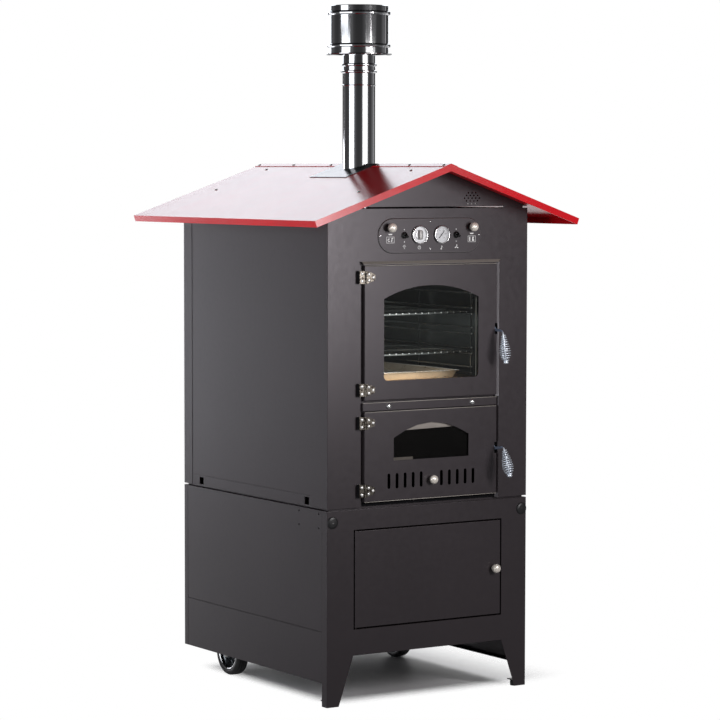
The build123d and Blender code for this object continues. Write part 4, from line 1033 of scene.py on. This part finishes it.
def area(name, off_deg, dist, z, width, height, radiance, tilt=None, target=None, color=(1, 1, 1)):
    """Soft box at an angle round the object, measured from the camera's side towards its right."""
    a = math.radians(-122.6 + off_deg)
    pos = Vector((dist * math.cos(a), dist * math.sin(a), z))
    ld = bpy.data.lights.new(name, "AREA")
    ld.shape = "RECTANGLE"
    ld.size, ld.size_y = width, height
    ld.energy = radiance * math.pi * width * height
    ld.color = color
    o = bpy.data.objects.new(name, ld)
    bpy.context.scene.collection.objects.link(o)
    o.location = pos
    tgt = Vector(target) if target else Vector((0, 0, z))
    o.rotation_euler = (pos - tgt).to_track_quat("Z", "Y").to_euler()
    o.visible_camera = False
    return o


VIEW = Vector((0.538, 0.843, 0.0))
SIDE = Vector((0.843, -0.538, 0.0))


def wall(name, depth, left, right, z0, z1, radiance, color=(1, 1, 1)):
    """Upright lit sheet behind the object, square to the camera's line of sight."""
    ld = bpy.data.lights.new(name, "AREA")
    ld.shape = "RECTANGLE"
    ld.size, ld.size_y = right - left, z1 - z0
    ld.energy = radiance * math.pi * ld.size * ld.size_y
    ld.color = color
    o = bpy.data.objects.new(name, ld)
    bpy.context.scene.collection.objects.link(o)
    o.location = VIEW * depth + SIDE * ((left + right) / 2) + Vector((0, 0, (z0 + z1) / 2))
    o.rotation_euler = VIEW.to_track_quat("Z", "Y").to_euler()
    o.visible_camera = False
    return o


# soft boxes left and right of the camera, and a white sheet behind the object
area("left_high", -51, 3.2, 1.93, 2.05, 0.86, 2.55, target=(0, 0, 1.9), color=(0.91, 0.95, 1.0))
area("left_top", -57, 3.2, 2.70, 1.80, 0.60, 2.0, target=(0, 0, 2.3), color=(0.91, 0.95, 1.0))
area("left_low", -50, 3.2, 0.85, 2.9, 1.30, 2.5, target=(0, 0, 0.9), color=(0.94, 0.96, 1.0))
area("right_inner", 36, 3.4, 1.89, 1.08, 0.88, 1.9, target=(0, 0, 1.85))
area("right_mid_a", 47.5, 3.4, 1.88, 0.30, 0.86, 34.5, target=(0, 0, 1.85), color=(1.0, 0.97, 0.99))
area("right_mid_b", 52.8, 3.4, 1.88, 0.34, 0.86, 1.8, target=(0, 0, 1.85))
area("right_step", 49, 3.4, 1.22, 0.75, 0.50, 11.5, target=(0, 0, 1.2), color=(1.0, 0.97, 0.99))
area("right_outer", 60, 3.4, 2.00, 0.50, 0.60, 1.6, target=(0, 0, 2.1))
wall("sheet_low_l", 2.5, -4.1, -1.6, 0.27, 1.89, 3.65, color=(0.925, 0.935, 1.0))
wall("sheet_low_r", 2.5, -1.6, 2.4, 0.25, 1.72, 0.8)
wall("sheet_foot_l", 2.5, -4.1, -1.6, -0.75, 0.25, 1.5, color=(0.97, 0.97, 1.0))
wall("sheet_high", 2.5, -2.2, 0.6, 2.2, 3.6, 2.42, color=(0.885, 0.94, 1.0))
# a wide light overhead that only the floor takes, so it stays pale round a soft shadow
top = area("box_floor", 0, 0.0, 4.6, 7.0, 7.0, 1.35, target=(0, 0.001, 0), color=(1, 1, 1))
only = bpy.data.collections.new("floor_only")
only.objects.link(floor)
top.light_linking.receiver_collection = only


def inside(name, at, to, width, height, radiance, takers, color=(1, 1, 1)):
    """Lamp that only the named pieces take."""
    ld = bpy.data.lights.new(name, "AREA")
    ld.shape = "RECTANGLE"
    ld.size, ld.size_y = width, height
    ld.energy = radiance * math.pi * width * height
    ld.color = color
    o = bpy.data.objects.new(name, ld)
    bpy.context.scene.collection.objects.link(o)
    o.location = at
    o.rotation_euler = (at - to).to_track_quat("Z", "Y").to_euler()
    o.visible_camera = False
    col = bpy.data.collections.new(name + "_takers")
    for n in takers:
        col.objects.link(nodes[n] if n in nodes else bpy.data.objects[n])
    o.light_linking.receiver_collection = col
    return o


def spot(off_deg, dist, z):
    a = math.radians(-122.6 + off_deg)
    return Vector((dist * math.cos(a), dist * math.sin(a), z))


inside("lamp_racks", P(-60, 16, 1230), P(0, 400, 1215), 0.30, 0.28, 0.38, ("rack_upper", "rack_lower"))
inside("lamp_rails", P(-60, 16, 1230), P(0, 400, 1215), 0.30, 0.28, 1.5, ("rack_supports", "ladder_tips"))
inside("lamp_tips", P(-60, 16, 1230), P(0, 200, 1215), 0.30, 0.28, 3.2, ("rack_tips_upper", "rack_tips_lower"))
inside("lamp_tray_front", P(-60, 14, 1120), P(-60, 112, 1072), 0.34, 0.05, 24.0, ("drip_tray",), color=(1.0, 0.71, 0.48))
inside("lamp_tray_top", P(0, 350, 1400), P(0, 350, 1060), 0.30, 0.40, 1.6, ("drip_tray",))
inside("lamp_tray_rim", P(0, 150, 1400), P(0, 250, 1060), 0.30, 0.40, 9.0, ("tray_rim",))
inside("lamp_wall", P(-120, 330, 1245), P(280, 360, 1240), 0.45, 0.05, 3.6, ("baking_chamber",), color=(0.95, 1.0, 1.0))
# frontal fill for the small bright parts
inside("fill_hardware", spot(18, 3.2, 1.9), Vector((0, -0.5, 1.2)), 1.0, 1.0, 8.5,
       ("timer_face", "timer_marks", "timer_bezel", "timer_skirt", "thermometer_face", "thermometer_marks", "thermometer_bezel",
        "bar_bolt_l", "bar_bolt_r", "hinge_screws_casing", "hinge_screws_upper", "hinge_screws_lower", "plate_screws",
        "latch_u_coil", "latch_u_rod", "latch_u_end", "latch_u_lever", "latch_d_coil", "latch_d_rod", "latch_d_end", "latch_d_lever",
        "fire_deflector", "air_knob", "base_door_knob", "damper_pull_left", "damper_pull_right", "control_marks",
        "fold_highlight_bar_top", "fold_highlight_upper_top", "fold_highlight_lower_top", "fold_highlight_lower_low", "ledge_highlight"))

bpy.context.scene.view_settings.view_transform = "Standard"
bpy.context.scene.view_settings.look = "None"
